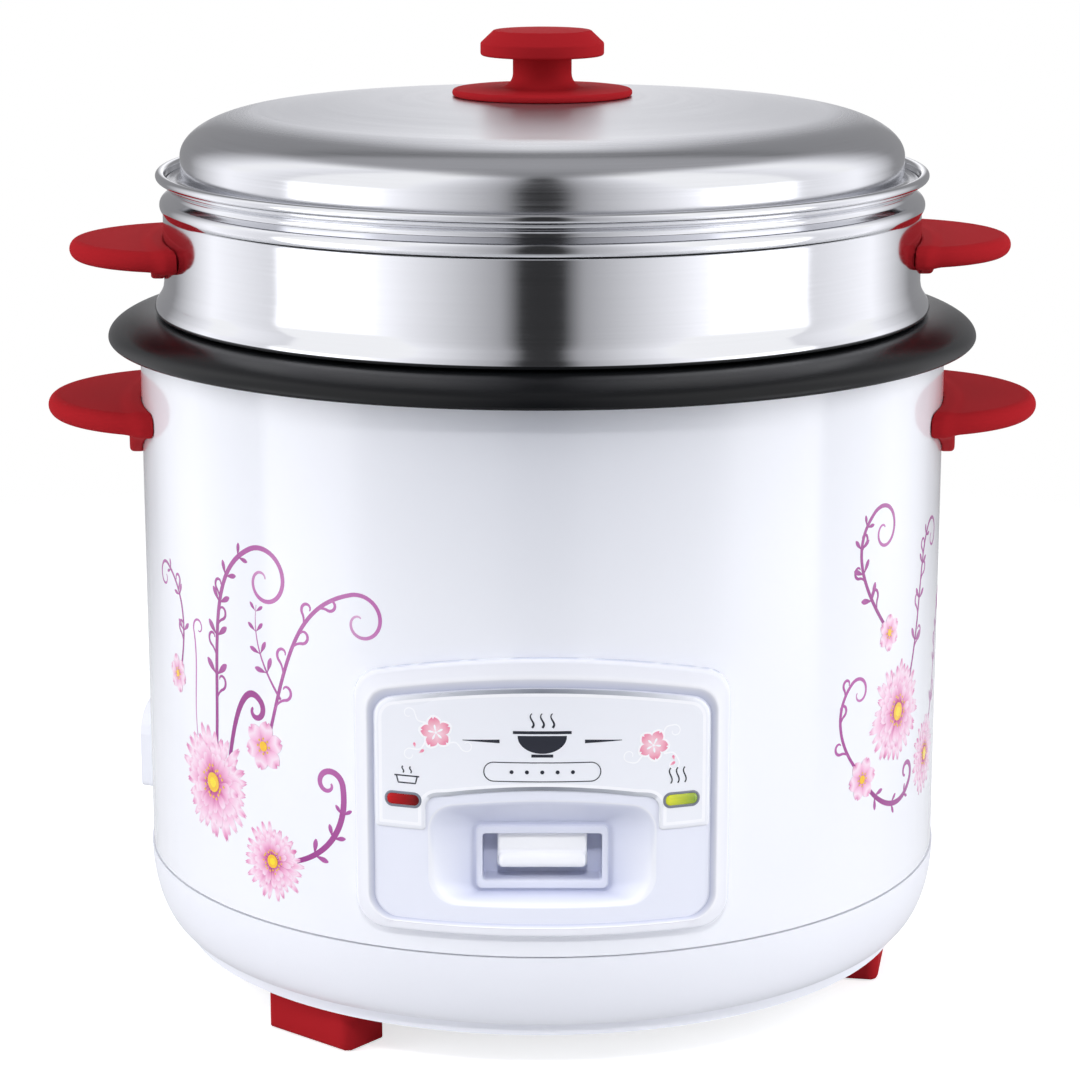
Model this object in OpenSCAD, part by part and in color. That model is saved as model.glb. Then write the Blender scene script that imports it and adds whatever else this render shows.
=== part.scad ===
// Rice cooker with a lift-out pot, a steamer basket, a lid and one cook switch.
// The origin is on the table under the middle of the body. +Z is up, the control panel faces -Y
// and the carrying handles point along X. All sizes are in millimetres.

/* [Body] */
// Outside diameter of the painted body
body_d = 260; // [250:1:280]
// Thickness of the painted sheet
body_t = 0.8; // [0.6:0.1:1.2]
// Height of the seam between the base ring and the body
seam_z = 43; // [41:0.5:44]

/* [Base] */
// Height of the feet
foot_h = 14; // [10:1:16]
// Width of each foot
foot_w = 36; // [24:1:40]
// Depth of each foot from its outer to its inner face
foot_depth = 18; // [16:1:20]
// Thickness of the bottom cover
cover_t = 4; // [3:0.5:5]
// How far the base ring draws in at its bottom
base_in = 10; // [7:0.5:11]

/* [Carrying handles] */
// How far a handle's tip stands out from the body
handle_reach = 31; // [24:1:40]
// Width of a handle where it meets the body
handle_w = 92; // [70:1:100]
// Thickness of a handle's wing
handle_t = 7; // [6:0.5:9]
// Height of the middle of a handle's wing
handle_z = 187; // [170:1:192]

/* [Control panel] */
// Width of the panel frame
panel_w = 111.4; // [108:0.2:118]
// Height of the frame's bottom edge
panel_bottom = 50.3; // [49:0.1:51]
// Height of the frame's top edge at the middle
panel_top = 135.5; // [132:0.5:145]
// Width of the frame's border
frame_w = 5.7; // [5:0.1:6]
// How far the frame stands out from the body
frame_t = 3.6; // [3:0.1:5]
// Depth of the finger pocket in front of the switch
pocket_depth = 10; // [9:0.5:10.5]
// Width of the cook button
button_w = 26.8; // [22:0.2:28]

/* [Pot] */
// Depth of the pot from the body's top edge to its underside
pot_depth = 106; // [100:1:107]
// Thickness of the pot
pot_t = 1.6; // [1.2:0.1:2]
// How far the pot's rim reaches out past the body
rim_reach = 10; // [7:0.5:12]
// How far the rim's crown rises above its outer edge
rim_rise = 7.2; // [6:0.2:9]

/* [Steamer] */
// Height of the steamer from the pot's rim to its own rim
steamer_h = 45; // [42:1:60]
// Depth of the steamer's floor below the pot's rim
steamer_drop = 20; // [12:1:40]
// How far a steamer handle's tip stands out from the wall
steamer_handle_reach = 30.3; // [24:0.1:36]
// Turn of the steamer on the pot, in degrees
steamer_turn = 2.5; // [0:0.5:15]

/* [Lid] */
// Height of the lid's shoulder
shoulder_h = 14.25; // [10:0.25:20]
// How far the lid's shoulder reaches in
shoulder_w = 30.4; // [20:0.1:40]
// Diameter of the knob's head
knob_d = 39.5; // [34:0.5:46]
// Height of the knob above the lid
knob_h = 20.4; // [18:0.2:26]

/* [Hidden] */
$fn = 128;

// Clearances: between pieces that part or move, between curved pieces that lie together, around
// a screw in the piece that it is driven into, and around a screw in the piece that it holds.
gap = 0.3;
skin = 0.1;
thread_gap = 0.05;
hole_gap = 0.3;

r_body = body_d / 2;
r_liner = r_body - 8.5;
liner_t = 0.6;
r_pot = r_body - 13;
r_rim = r_body + rim_reach;

// Heights of the pot: its underside lies this far above the seam, over the heater and the switch
under_pot = 63;
pot_bottom = seam_z + under_pot;
body_top = pot_bottom + pot_depth;
rim_edge_z = body_top - 0.7;
rim_top = rim_edge_z + rim_rise;

// Heights of the base, from the table up
cover_top = foot_h + cover_t;
ring_top = seam_z - 0.4;
lip_r = r_body - 22;
cover_screw_r = r_body - 18;
foot_r = r_body - 24;
foot_screw_r = r_body - 27.5;
foot_turns = [-40, 80, 200];

// Heights of the heater, from the pot down
plate_top = pot_bottom - gap;
plate_bottom = plate_top - 14;
liner_floor = plate_bottom - 3.1;
r_plate = r_body - 46;
ring_bottom = plate_bottom - 4;
plate_hole_r = 19;
plate_screw_r = 74;

// The switch: the lever's pivot, its strip and its upright behind the panel
pivot = [-62, plate_bottom - 43.7];
lever_top = pivot[1] + 3.9;
lever_t = 1.5;
riser_y = -(r_body - 21);
pin_r = 2;
run_gap = 0.05;

// The panel's surfaces, as radii and as depths along -Y
r_panel = r_body + 2.2;
r_label = r_panel + 0.6;
pocket_floor = r_panel - pocket_depth;
well_floor = pocket_floor - 7.6;
arch_sag = 5.8;
window_w = 35.6;
window = [64.6, 79.3];
bezel = [62.1, 81.7];
bezel_w = window_w + 3.4;
button = [window[0] + 3.8, window[1] - 0.4];
button_roll = 2.35;
pocket_w = panel_w - 45;
pocket = [59.7, 91.9];
lens_x = panel_w / 2 - 14.7;
lens_z = 91;
lens_turn = asin(lens_x / r_panel);

// The sensor: its cup, its guide and the magnet under it
cup_r = 17.5;
cup_bottom = plate_bottom - 5;
ferrite_bottom = plate_top - 5.5;
guide_bottom = plate_bottom - 33.5;
guide_r = 15.4;
magnet_top = plate_bottom - 1.7;
rod_r = 2;

// The steamer and the lid
r_skirt = r_body - 18;
r_steamer = r_body - 8.3;
steamer_t = 0.6;
seat_z = rim_top + gap;
steamer_top = seat_z + steamer_h;
r_neck = r_steamer - 2.4;
ledge_z = steamer_top - 4.2;
r_lid = r_body - 14.1;
lid_t = 0.6;
brim_z = ledge_z + lid_t + 0.55;
shoulder_z = brim_z + 7.45;
join_turn = 78;
join_r = r_lid - shoulder_w * (1 - cos(join_turn));
join_z = shoulder_z + shoulder_h * sin(join_turn);
dome_h = join_r / 2 * shoulder_h / shoulder_w / tan(join_turn);
lid_top = join_z + dome_h;
flange_r = 28.8;
stem_r = 9.4;

// The power inlet, on the rear left
inlet_turn = 158;
inlet_z = [44.5, 75.5];
inlet_w = 42;
inlet_face = r_body + 11.5;
tub_w = 30;
tub_z = [48.5, 71.5];

// ---- Outlines and sheets ----

// Points of an elliptical arc about c with half axes a, from one angle to another
function arc(c, a, from, to, n = 8) =
  [for (i = [0:n]) let (t = from + (to - from) * i / n) [c[0] + a[0] * cos(t), c[1] + a[1] * sin(t)]];

function flip(list) = [for (i = [len(list) - 1:-1:0]) list[i]];

function unit(v) = v / norm(v);

// The unit vector to the left of the step from p to q
function leftward(p, q) = let (d = unit(q - p)) [-d[1], d[0]];

// The path moved to its left by t, mitred at each of its points
function beside(path, t) = let (last = len(path) - 1)
  [for (i = [0:last])
    let (
      a = leftward(path[max(i - 1, 0)], path[max(i, 1)]),
      b = leftward(path[min(i, last - 1)], path[min(i + 1, last)])
    ) path[i] + t * (a + b) / (1 + a * b)];

// A corner at b, between a and c, rounded to radius r
function corner(a, b, c, r, n = 5) =
  let (
    u = unit(a - b),
    v = unit(c - b),
    half = acos(u * v) / 2,
    centre = b + unit(u + v) * r / sin(half),
    s = b + u * r / tan(half) - centre,
    e = b + v * r / tan(half) - centre,
    start = atan2(s[1], s[0]),
    sweep = (atan2(e[1], e[0]) - start + 540) % 360 - 180
  ) arc(centre, [r, r], start, start + sweep, n);

// An outline with each corner rounded to its own radius
function rounded(points, radii) = let (n = len(points))
  [for (i = [0:n - 1]) each radii[i] > 0
    ? corner(points[(i + n - 1) % n], points[i], points[(i + 1) % n], radii[i])
    : [points[i]]];

// A row of points over an arch of half width w, from its right end to its left end
function arch(w, top, sag, n = 12) =
  [for (i = [0:n]) let (x = w * (1 - 2 * i / n)) [x, top - sag * pow(x / w, 2)]];

// A window outline with a straight bottom and an arched top
function arched(w, bottom, top, sag, r) =
  let (roof = arch(w, top, sag), n = len(roof))
  rounded(
    concat([[-w, bottom], [w, bottom]], roof),
    [for (i = [0:n + 1]) i < 3 || i == n + 1 ? r : 0]
  );

function box_outline(w, z, r) = rounded([[-w, z[0]], [w, z[0]], [w, z[1]], [-w, z[1]]], [r, r, r, r]);

// A turned sheet part: the path is one of its faces, and its metal lies t to the path's left
module sheet(path, t) {
  rotate_extrude() polygon(concat(path, flip(beside(path, t))));
}

module ring(r_in, r_out, z0, z1) {
  translate([0, 0, z0]) difference() {
    cylinder(r = r_out, h = z1 - z0);
    translate([0, 0, -1]) cylinder(r = r_in, h = z1 - z0 + 2);
  }
}

// A prism of an XZ outline, from depth near to depth far along -Y
module front_prism(outline, near, far) {
  rotate([90, 0, 0]) translate([0, 0, near]) linear_extrude(far - near) polygon(outline);
}

// A prism of a YZ outline, from x = near to x = far
module side_prism(outline, near, far) {
  rotate([90, 0, 90]) translate([0, 0, near]) linear_extrude(far - near) polygon(outline);
}

module block(x, y, z) {
  translate([x[0], y[0], z[0]]) cube([x[1] - x[0], y[1] - y[0], z[1] - z[0]]);
}

// ---- Screws, springs and wires ----

// A pan head screw along +Z, with the underside of its head at z = 0
module screw(r, head_r, head_h, length) {
  translate([0, 0, -head_h]) cylinder(r = head_r, h = head_h);
  translate([0, 0, -head_h / 2]) cylinder(r = r, h = length + head_h / 2);
}

// Moves its children from the Z axis onto a radius: turned about Z, at height z, pointing outward
module outward(turn, r, z) {
  rotate([0, 0, turn]) translate([r, 0, z]) rotate([0, 90, 0]) children();
}

// Points along a smooth curve through the given points
function smooth(p, n = 5) = let (last = len(p) - 1)
  concat([for (i = [0:last - 1], k = [0:n - 1])
    let (
      t = k / n,
      a = p[max(i - 1, 0)], b = p[i], c = p[i + 1], d = p[min(i + 2, last)]
    ) 0.5 * (2 * b + t * (c - a) + t * t * (2 * a - 5 * b + 4 * c - d)
      + t * t * t * (3 * b - 3 * c + d - a))], [p[last]]);

function helix(r, z0, z1, turns, steps = 16) =
  [for (i = [0:turns * steps]) let (a = 360 * i / steps)
    [r * cos(a), r * sin(a), z0 + (z1 - z0) * i / (turns * steps)]];

// A round bar swept along points. No step of the path may run along the vector "across".
module swept(path, r, across = [0, 0, 1], sides = 8) {
  last = len(path) - 1;
  points = [for (i = [0:last])
    let (
      t = unit(path[min(i + 1, last)] - path[max(i - 1, 0)]),
      u = unit(cross(t, across)),
      v = cross(t, u)
    )
    for (j = [0:sides - 1]) path[i] + r * (u * cos(360 * j / sides) + v * sin(360 * j / sides))];
  walls = [for (i = [0:last - 1], j = [0:sides - 1])
    let (a = i * sides + j, b = i * sides + (j + 1) % sides)
    each [[a, a + sides, b + sides], [a, b + sides, b]]];
  near_end = [for (j = [0:sides - 1]) j];
  far_end = [for (j = [sides - 1:-1:0]) last * sides + j];
  polyhedron(points, concat([near_end], walls, [far_end]), convexity = 10);
}

// ---- Body ----

module outer_body() {
  wall_top = body_top - 3;
  path = concat(
    [[r_body - 9, seam_z], [r_body, seam_z]],
    arc([r_body - 3, wall_top], [3, 3], 0, 90, 6),
    [[r_liner + 2.1, body_top]]
  );
  color("ghostwhite") difference() {
    sheet(path, body_t);
    front_prism(body_opening(), r_body - 12, r_body + 5);
    rotate([0, 0, inlet_turn])
      side_prism(box_outline(tub_w / 2 + 0.4, [tub_z[0] - 0.4, tub_z[1] + 0.4], 3), r_body - 8, r_body + 5);
    for (turn = handle_screw_turns)
      outward(turn, r_body - 4, handle_z) cylinder(r = body_screw_r + hole_gap, h = 8);
    for (p = panel_screw_places) outward(p[0], r_body - 4, p[1]) cylinder(r = 1.2 + hole_gap, h = 8);
    for (side = inlet_screw_sides)
      outward(inlet_turn, 0, inlet_screw_z)
        translate([0, side, r_body - 8]) cylinder(r = inlet_screw_r + hole_gap, h = 14);
    for (turn = base_screw_turns)
      rotate([0, 0, turn]) translate([r_body - 5.5, 0, seam_z - 1]) cylinder(r = 1.5 + thread_gap, h = 4);
  }
}

function body_opening() = box_outline(panel_w / 2 - 8.7, [panel_bottom + 6.7, panel_top - 13.5], 5);

module inner_liner() {
  top = body_top + liner_t;
  path = concat(
    [[r_liner + 5.9, top]],
    arc([r_liner + 2, top - 2], [2, 2], 90, 180, 5),
    arc([r_liner - 5, liner_floor + 5], [5, 5], 0, -90, 6),
    [[64, liner_floor]]
  );
  color("silver") difference() {
    sheet(path, liner_t);
    for (turn = plate_screw_turns)
      rotate([0, 0, turn]) translate([plate_screw_r, 0, liner_floor - 2]) cylinder(r = 2 + hole_gap, h = 4);
    for (x = bracket_screw_x)
      translate([x, bracket_screw_y, liner_floor - 2]) cylinder(r = 1.6 + thread_gap, h = 4);
  }
}

module base_ring() {
  axis = [r_body + 0.5 - base_in, ring_top];
  drop = ring_top - cover_top;
  wall = 2.5;
  flange_z = seam_z - wall;
  outline = concat(
    arc(axis, [base_in, drop], 0, -90, 16),
    [[lip_r, cover_top], [lip_r, cover_top + wall]],
    arc(axis, [base_in - wall, drop - wall], -90, asin((flange_z - ring_top) / (drop - wall)), 16),
    [[r_body - 11, flange_z], [r_body - 11, seam_z], [r_body - 1.5, seam_z], [r_body - 1.5, ring_top]]
  );
  color("white") difference() {
    union() {
      rotate_extrude() polygon(outline);
      for (turn = cover_screw_turns)
        rotate([0, 0, turn]) translate([cover_screw_r, 0, cover_top + 1]) cylinder(r = 3.6, h = 9);
    }
    for (turn = cover_screw_turns)
      rotate([0, 0, turn]) translate([cover_screw_r, 0, cover_top - 1])
        cylinder(r = 1.7 + thread_gap, h = 9);
    for (turn = base_screw_turns)
      rotate([0, 0, turn]) translate([r_body - 5.5, 0, flange_z - 1]) cylinder(r = 1.5 + hole_gap, h = 5);
  }
}

base_screw_turns = [30, 75, 120, 205, 300, 345];

module base_ring_screws() {
  color("gray") for (turn = base_screw_turns)
    rotate([0, 0, turn]) translate([r_body - 5.5, 0, seam_z - 2.5]) screw(1.5, 2.6, 1.8, 5);
}

// ---- Bottom cover and feet ----

cover_screw_turns = [45, 135, 225, 315];
vent_turns = [for (i = [0:11]) 30 * i];

module bottom_cover() {
  color("white") difference() {
    union() {
      translate([0, 0, foot_h]) cylinder(r = r_body - 10.2, h = cover_t);
      for (turn = foot_turns) rotate([0, 0, turn])
        translate([0, -foot_screw_r, foot_h + 1]) cylinder(r = 4.5, h = cover_t + 7);
    }
    for (turn = vent_turns) rotate([0, 0, turn]) {
      block([34, 58], [-1.5, 1.5], [foot_h - 1, cover_top + 1]);
      rotate([0, 0, 15]) block([64, 86], [-1.5, 1.5], [foot_h - 1, cover_top + 1]);
    }
    for (turn = foot_turns) rotate([0, 0, turn])
      translate([0, -foot_screw_r, foot_h - 1]) cylinder(r = 2 + thread_gap, h = cover_t + 6);
    for (turn = cover_screw_turns) rotate([0, 0, turn]) translate([cover_screw_r, 0, foot_h]) {
      translate([0, 0, -1]) cylinder(r = 1.7 + hole_gap, h = cover_t + 2);
      translate([0, 0, -1]) cylinder(r = 3.4, h = 2.4);
    }
  }
}

module cover_screws() {
  color("gray") for (turn = cover_screw_turns)
    rotate([0, 0, turn]) translate([cover_screw_r, 0, foot_h + 1.4]) screw(1.7, 3.1, 1.4, 9);
}

module foot(turn) {
  outline = box_outline(foot_w / 2, [-foot_depth / 2, foot_depth / 2], 4);
  color("firebrick") rotate([0, 0, turn]) difference() {
    translate([0, -foot_r, 0]) linear_extrude(foot_h) polygon(outline);
    translate([0, -foot_screw_r, -1]) cylinder(r = 4.6, h = 5);
    translate([0, -foot_screw_r, -1]) cylinder(r = 2 + hole_gap, h = foot_h + 2);
  }
}

module foot_screws() {
  color("gray") for (turn = foot_turns)
    rotate([0, 0, turn]) translate([0, -foot_screw_r, 4]) screw(2, 4.1, 2.2, foot_h + cover_t);
}

// ---- Handles ----

// A half-moon handle on a round wall, on the +X side: a level wing, and a pad that narrows below it.
// The screws enter from inside the wall, at the given turns from the X axis.
module wing_handle(r_wall, reach, w, z, t, pad_drop, pad_w, turns, screw_r) {
  chord_x = sqrt(r_wall * r_wall - w * w / 4);
  rise = r_wall + reach - chord_x;
  r = (rise * rise + w * w / 4) / (2 * rise);
  edge = t / 2;
  shield = rounded(
    [[-w / 2 + 2, z + edge - 1], [-w / 2 + 2, z - edge + 2], [-pad_w, z - edge - pad_drop],
     [pad_w, z - edge - pad_drop], [w / 2 - 2, z - edge + 2], [w / 2 - 2, z + edge - 1]],
    [1, 3, 4, 4, 3, 1]
  );
  difference() {
    union() {
      translate([r_wall + reach - r, 0, 0]) rotate_extrude()
        polygon(concat([[0, z - edge]], arc([r - edge, z], [edge, edge], -90, 90, 8), [[0, z + edge]]));
      intersection() {
        ring(r_wall + skin, r_wall + 4.2, z - edge - pad_drop - 1, z + edge);
        side_prism(shield, r_wall / 2, r_wall + 8);
      }
    }
    translate([0, 0, z - 40]) cylinder(r = r_wall + skin, h = 80);
    for (turn = turns) outward(turn, r_wall - 2, z) cylinder(r = screw_r + thread_gap, h = 12.5);
  }
}

body_screw_side = 9;
body_screw_r = 1.9;
handle_screw_turns = [-body_screw_side, body_screw_side, 180 - body_screw_side, 180 + body_screw_side];

module body_handle() {
  color("firebrick")
    wing_handle(r_body, handle_reach, handle_w, handle_z, handle_t, 12.5, 9,
      [-body_screw_side, body_screw_side], body_screw_r);
}

module body_handle_screws() {
  color("gray") for (turn = handle_screw_turns)
    outward(turn, r_body - body_t - 0.2, handle_z) screw(body_screw_r, 2 * body_screw_r, 2.2, 10);
}

steamer_screw_side = 8;
steamer_screw_turns =
  [-steamer_screw_side, steamer_screw_side, 180 - steamer_screw_side, 180 + steamer_screw_side];
steamer_handle_t = 6.6;
steamer_handle_z = seat_z + 19.6;

module steamer_handle() {
  color("firebrick")
    wing_handle(r_steamer, steamer_handle_reach, 80, steamer_handle_z, steamer_handle_t, 6.8, 8,
      [-steamer_screw_side, steamer_screw_side], 1.6);
}

module steamer_handle_screws() {
  color("gray") rotate([0, 0, steamer_turn])
    for (turn = steamer_screw_turns)
      outward(turn, r_steamer - steamer_t - 0.15, steamer_handle_z) screw(1.6, 3.6, 1.5, 9);
}

// ---- Control panel ----

panel_screw_turn = asin((panel_w - frame_w) / 2 / r_body);
panel_screw_places = [for (side = [-1, 1], z = [panel_bottom + 14, panel_top - 24])
  [side * panel_screw_turn - 90, z]];

function panel_inside(inset) =
  arched(panel_w / 2 - frame_w - inset, panel_bottom + 3.7 + inset, panel_top - 8.5 - inset, arch_sag, 7);

module panel_frame() {
  color("white") difference() {
    intersection() {
      ring(r_body + skin, r_body + frame_t, panel_bottom - 5, panel_top + 5);
      front_prism(arched(panel_w / 2, panel_bottom, panel_top, arch_sag + 1.6, 9), 60, r_body + 10);
    }
    front_prism(panel_inside(0), 50, r_body + 12);
    for (p = panel_screw_places) outward(p[0], r_body - 2, p[1]) cylinder(r = 1.2 + thread_gap, h = 4.6);
  }
}

module panel_screws() {
  color("gray") for (p = panel_screw_places)
    outward(p[0], r_body - body_t - 0.1, p[1]) screw(1.2, 2.4, 1.4, 3.2);
}

// The finger pocket's space, tapering from the panel's face to the bezel's outline
module pocket_space(grow, floor_depth) {
  hull() {
    front_prism(arched(pocket_w / 2 + grow, pocket[0] - grow, pocket[1] + grow, 3.4, 8 + grow),
      r_panel, r_panel + 0.1);
    front_prism(box_outline(bezel_w / 2 + grow, [bezel[0] - grow, bezel[1] + grow], 2),
      floor_depth, floor_depth + 0.1);
  }
}

module panel_plate() {
  wall = 1.6;
  color("white") difference() {
    union() {
      intersection() {
        ring(r_body + skin, r_panel, panel_bottom, panel_top);
        front_prism(panel_inside(0.15), 60, r_body + 10);
      }
      intersection() {
        pocket_space(wall, pocket_floor - wall);
        translate([0, 0, panel_bottom]) cylinder(r = r_body + 1, h = panel_top - panel_bottom);
      }
      front_prism(box_outline(window_w / 2 + wall, [window[0] - wall, window[1] + wall], 1),
        well_floor - 1.4, pocket_floor);
    }
    pocket_space(0, pocket_floor);
    front_prism(box_outline(window_w / 2, window, 1), well_floor, pocket_floor + 1);
    block([-9, 9], [-well_floor - 1, -well_floor + 4], [button[0] + 0.1, button[1] - 1.6]);
    for (side = [-1, 1]) lens_slot(side, skin, r_body - 3, r_body + 6);
  }
  color("white") difference() {
    front_prism(box_outline(bezel_w / 2, bezel, 1.6), pocket_floor - 0.4, pocket_floor + 1);
    front_prism(box_outline(window_w / 2, window, 1), pocket_floor - 1, pocket_floor + 2);
  }
}

// A lens's slot outline along its own radius, between two radii
module lens_slot(side, grow, near, far) {
  rotate([0, 0, side * lens_turn])
    front_prism(box_outline(5 + grow, [lens_z - 1.7 - grow, lens_z + 1.7 + grow], 1.5), near, far);
}

function label_outline() =
  let (
    w = panel_w / 2 - frame_w - 0.4,
    leg = lens_x - 6.5,
    foot = lens_z - 9,
    sill = lens_z + 4.6,
    knee = pocket_w / 2 - 5.2
  )
  rounded(
    concat([[leg, foot], [w, foot]], arch(w, panel_top - 8.9, arch_sag), [[-w, foot], [-leg, foot]],
      [[-leg, sill - 3.4]], flip(arch(knee, sill, 2.6, 8)), [[leg, sill - 3.4]]),
    concat([0.8, 0.8, 6.6], [for (i = [0:10]) 0], [6.6, 0.8, 0.8, 4], [for (i = [0:8]) 0], [4])
  );

module label_plate() {
  color("whitesmoke") difference() {
    intersection() {
      ring(r_panel, r_label, panel_bottom, panel_top);
      front_prism(label_outline(), 60, r_body + 10);
    }
    for (side = [-1, 1]) lens_slot(side, skin, r_body - 3, r_body + 6);
  }
}

module lens(side) {
  intersection() {
    lens_slot(side, 0, r_body - 3, r_body + 6);
    ring(r_body - 2.5, r_label + 0.4, lens_z - 5, lens_z + 5);
  }
}

// A small glow lamp that lies behind its lens, along the wall
module lamp(side) {
  color("orange") rotate([0, 0, side * lens_turn]) translate([-5, -(r_body - 5), lens_z])
    rotate([0, 90, 0]) cylinder(r = 1.9, h = 10);
}

// ---- Switch ----

module switch_button() {
  tab = [-button_w / 2, button_w / 2];
  color("white") difference() {
    union() {
      front_prism(box_outline(button_w / 2, button, 1), well_floor + 1.4, well_floor + 6.4);
      translate([tab[0] + 0.4, -(well_floor + 6.9), button[0] + button_roll])
        rotate([0, 90, 0]) cylinder(r = button_roll, h = button_w - 0.8);
    }
    block([-8.1, 8.1], [-(well_floor + 4.4), -(well_floor + 1)], [72.4, 76.6]);
  }
}

module switch_lever() {
  strip = [lever_top - lever_t, lever_top];
  color("silver") difference() {
    union() {
      block([-11, 11], [riser_y, 4], strip);
      block([-8, 8], [riser_y, riser_y + lever_t], [strip[0], 76.5]);
      block([-8, 8], [-(well_floor + 4.2), riser_y + 1], [72.5, 76.5]);
      translate([-11, pivot[0], pivot[1]]) rotate([0, 90, 0]) cylinder(r = 4, h = 22);
    }
    translate([-12, pivot[0], pivot[1]]) rotate([0, 90, 0]) cylinder(r = pin_r + run_gap, h = 24);
  }
}

module lever_pin() {
  color("dimgray") translate([-16.5, pivot[0], pivot[1]]) rotate([0, 90, 0]) {
    cylinder(r = pin_r, h = 33);
    translate([0, 0, -1]) cylinder(r = 3.4, h = 1.2);
    translate([0, 0, 32.8]) cylinder(r = 3.4, h = 1.2);
  }
}

bracket_screw_x = [-8, 8];
bracket_screw_y = -80;
cheek = [13.8, 15];
bracket_foot = pivot[1] - 14;
bracket_top = liner_floor - liner_t;

module switch_bracket() {
  color("silver") difference() {
    union() {
      block([-cheek[1], cheek[1]], [-100, -67], [bracket_top - 1.2, bracket_top]);
      for (x = [[cheek[0], cheek[1]], [-cheek[1], -cheek[0]]]) {
        block(x, [-100, -67], [bracket_foot, bracket_top - 0.2]);
        block(x, [-67.5, -56], [bracket_foot, pivot[1] + 7]);
      }
    }
    translate([-20, pivot[0], pivot[1]]) rotate([0, 90, 0]) cylinder(r = pin_r + thread_gap, h = 40);
    for (x = bracket_screw_x)
      translate([x, bracket_screw_y, bracket_top - 4]) cylinder(r = 1.6 + hole_gap, h = 8);
    for (y = microswitch_screw_y) translate([0, y, bracket_foot + 5]) rotate([0, 90, 0])
      cylinder(r = 1.2 + hole_gap, h = 20);
  }
}

module bracket_screws() {
  color("gray") for (x = bracket_screw_x)
    translate([x, bracket_screw_y, bracket_top - 1.2]) screw(1.6, 3, 1.8, 4);
}

microswitch_screw_y = [-94, -78];
plunger = [3, -88];
plunger_r = 1.5;

module microswitch() {
  color("dimgray") difference() {
    block([-8, cheek[0]], [-98, -74], [bracket_foot, bracket_foot + 11]);
    translate([plunger[0], plunger[1], bracket_foot + 4]) cylinder(r = plunger_r + 0.06, h = 10);
    for (y = microswitch_screw_y) translate([9, y, bracket_foot + 5]) rotate([0, 90, 0])
      cylinder(r = 1.2 + thread_gap, h = 8);
  }
}

module microswitch_screws() {
  color("gray") for (y = microswitch_screw_y)
    translate([cheek[1], y, bracket_foot + 5]) rotate([0, -90, 0]) screw(1.2, 2.4, 1.4, 5.5);
}

module switch_plunger() {
  color("firebrick") translate([plunger[0], plunger[1], bracket_foot + 6.5])
    cylinder(r = plunger_r, h = lever_top - lever_t - 0.4 - bracket_foot - 6.5);
}

// ---- Heater and sensor ----

plate_screw_turns = [50, 170, 290];
terminal_turns = [100, 150];
terminal_r = 53;
terminal_end = ring_bottom - 15;

module heating_plate() {
  outline = [
    [plate_hole_r, plate_bottom], [44, plate_bottom], [47, ring_bottom], [59, ring_bottom],
    [62, plate_bottom], [r_plate - 1, plate_bottom], [r_plate, plate_bottom + 1],
    [r_plate, plate_top - 2], [r_plate - 2, plate_top], [plate_hole_r, plate_top]
  ];
  color("lightgray") difference() {
    rotate_extrude() polygon(outline);
    for (turn = plate_screw_turns) rotate([0, 0, turn])
      translate([plate_screw_r, 0, plate_bottom - 1]) cylinder(r = 2 + thread_gap, h = 9);
    for (x = thermostat_screw_x) translate([x, 0, plate_bottom - 1]) cylinder(r = 1.6 + thread_gap, h = 7);
  }
}

module element_terminals() {
  color("gainsboro") for (turn = terminal_turns) rotate([0, 0, turn]) translate([terminal_r, 0, 0]) {
    translate([0, 0, ring_bottom - 6.5]) cylinder(r = 4, h = 6.5);
    translate([0, 0, terminal_end]) cylinder(r = 2.2, h = 10);
  }
}

module plate_spacers() {
  color("silver") for (turn = plate_screw_turns) rotate([0, 0, turn]) translate([plate_screw_r, 0, 0])
    ring(2 + hole_gap, 5.5, liner_floor, plate_bottom);
}

module plate_screws() {
  color("gray") for (turn = plate_screw_turns)
    rotate([0, 0, turn]) translate([plate_screw_r, 0, liner_floor - liner_t]) screw(2, 4, 2.4, 10.5);
}

module sensor_cup() {
  outline = [
    [0, plate_top], [cup_r - 1.5, plate_top], [cup_r, plate_top - 1.5], [cup_r, cup_bottom + 0.8],
    [22, cup_bottom + 0.8], [22, cup_bottom], [cup_r - 0.8, cup_bottom], [cup_r - 0.8, plate_top - 1],
    [0, plate_top - 1]
  ];
  color("silver") rotate_extrude() polygon(outline);
}

module ferrite_disc() {
  color("dimgray") translate([0, 0, ferrite_bottom]) cylinder(r = 15, h = plate_top - 1 - ferrite_bottom);
}

module sensor_spring() {
  color("silver") swept(helix(18.6, guide_bottom + 0.7, cup_bottom - 0.7, 6), 0.6);
}

module sensor_guide() {
  outline = [
    [rod_r + 0.06, guide_bottom], [guide_r, guide_bottom], [guide_r, plate_top - 7.7],
    [guide_r - 0.8, plate_top - 7.7], [guide_r - 0.8, guide_bottom + 1.2],
    [rod_r + 0.06, guide_bottom + 1.2]
  ];
  color("darkgray") rotate_extrude() polygon(outline);
}

thermostat_screw_x = [-34, 34];
strap_leg = [26.8, 28];

module thermostat_bracket() {
  strap_t = 1.2;
  color("silver") difference() {
    union() {
      block([-strap_leg[1], strap_leg[1]], [-10, 10], [guide_bottom - strap_t, guide_bottom]);
      for (side = [-1, 1]) scale([side, 1, 1]) {
        block(strap_leg, [-10, 10], [guide_bottom - strap_t / 2, plate_bottom]);
        block([strap_leg[0], 40], [-10, 10], [plate_bottom - strap_t, plate_bottom]);
      }
    }
    translate([0, 0, guide_bottom - 3]) cylinder(r = rod_r + 1, h = 6);
    for (x = thermostat_screw_x) translate([x, 0, plate_bottom - 3]) cylinder(r = 1.6 + hole_gap, h = 6);
  }
}

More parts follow.
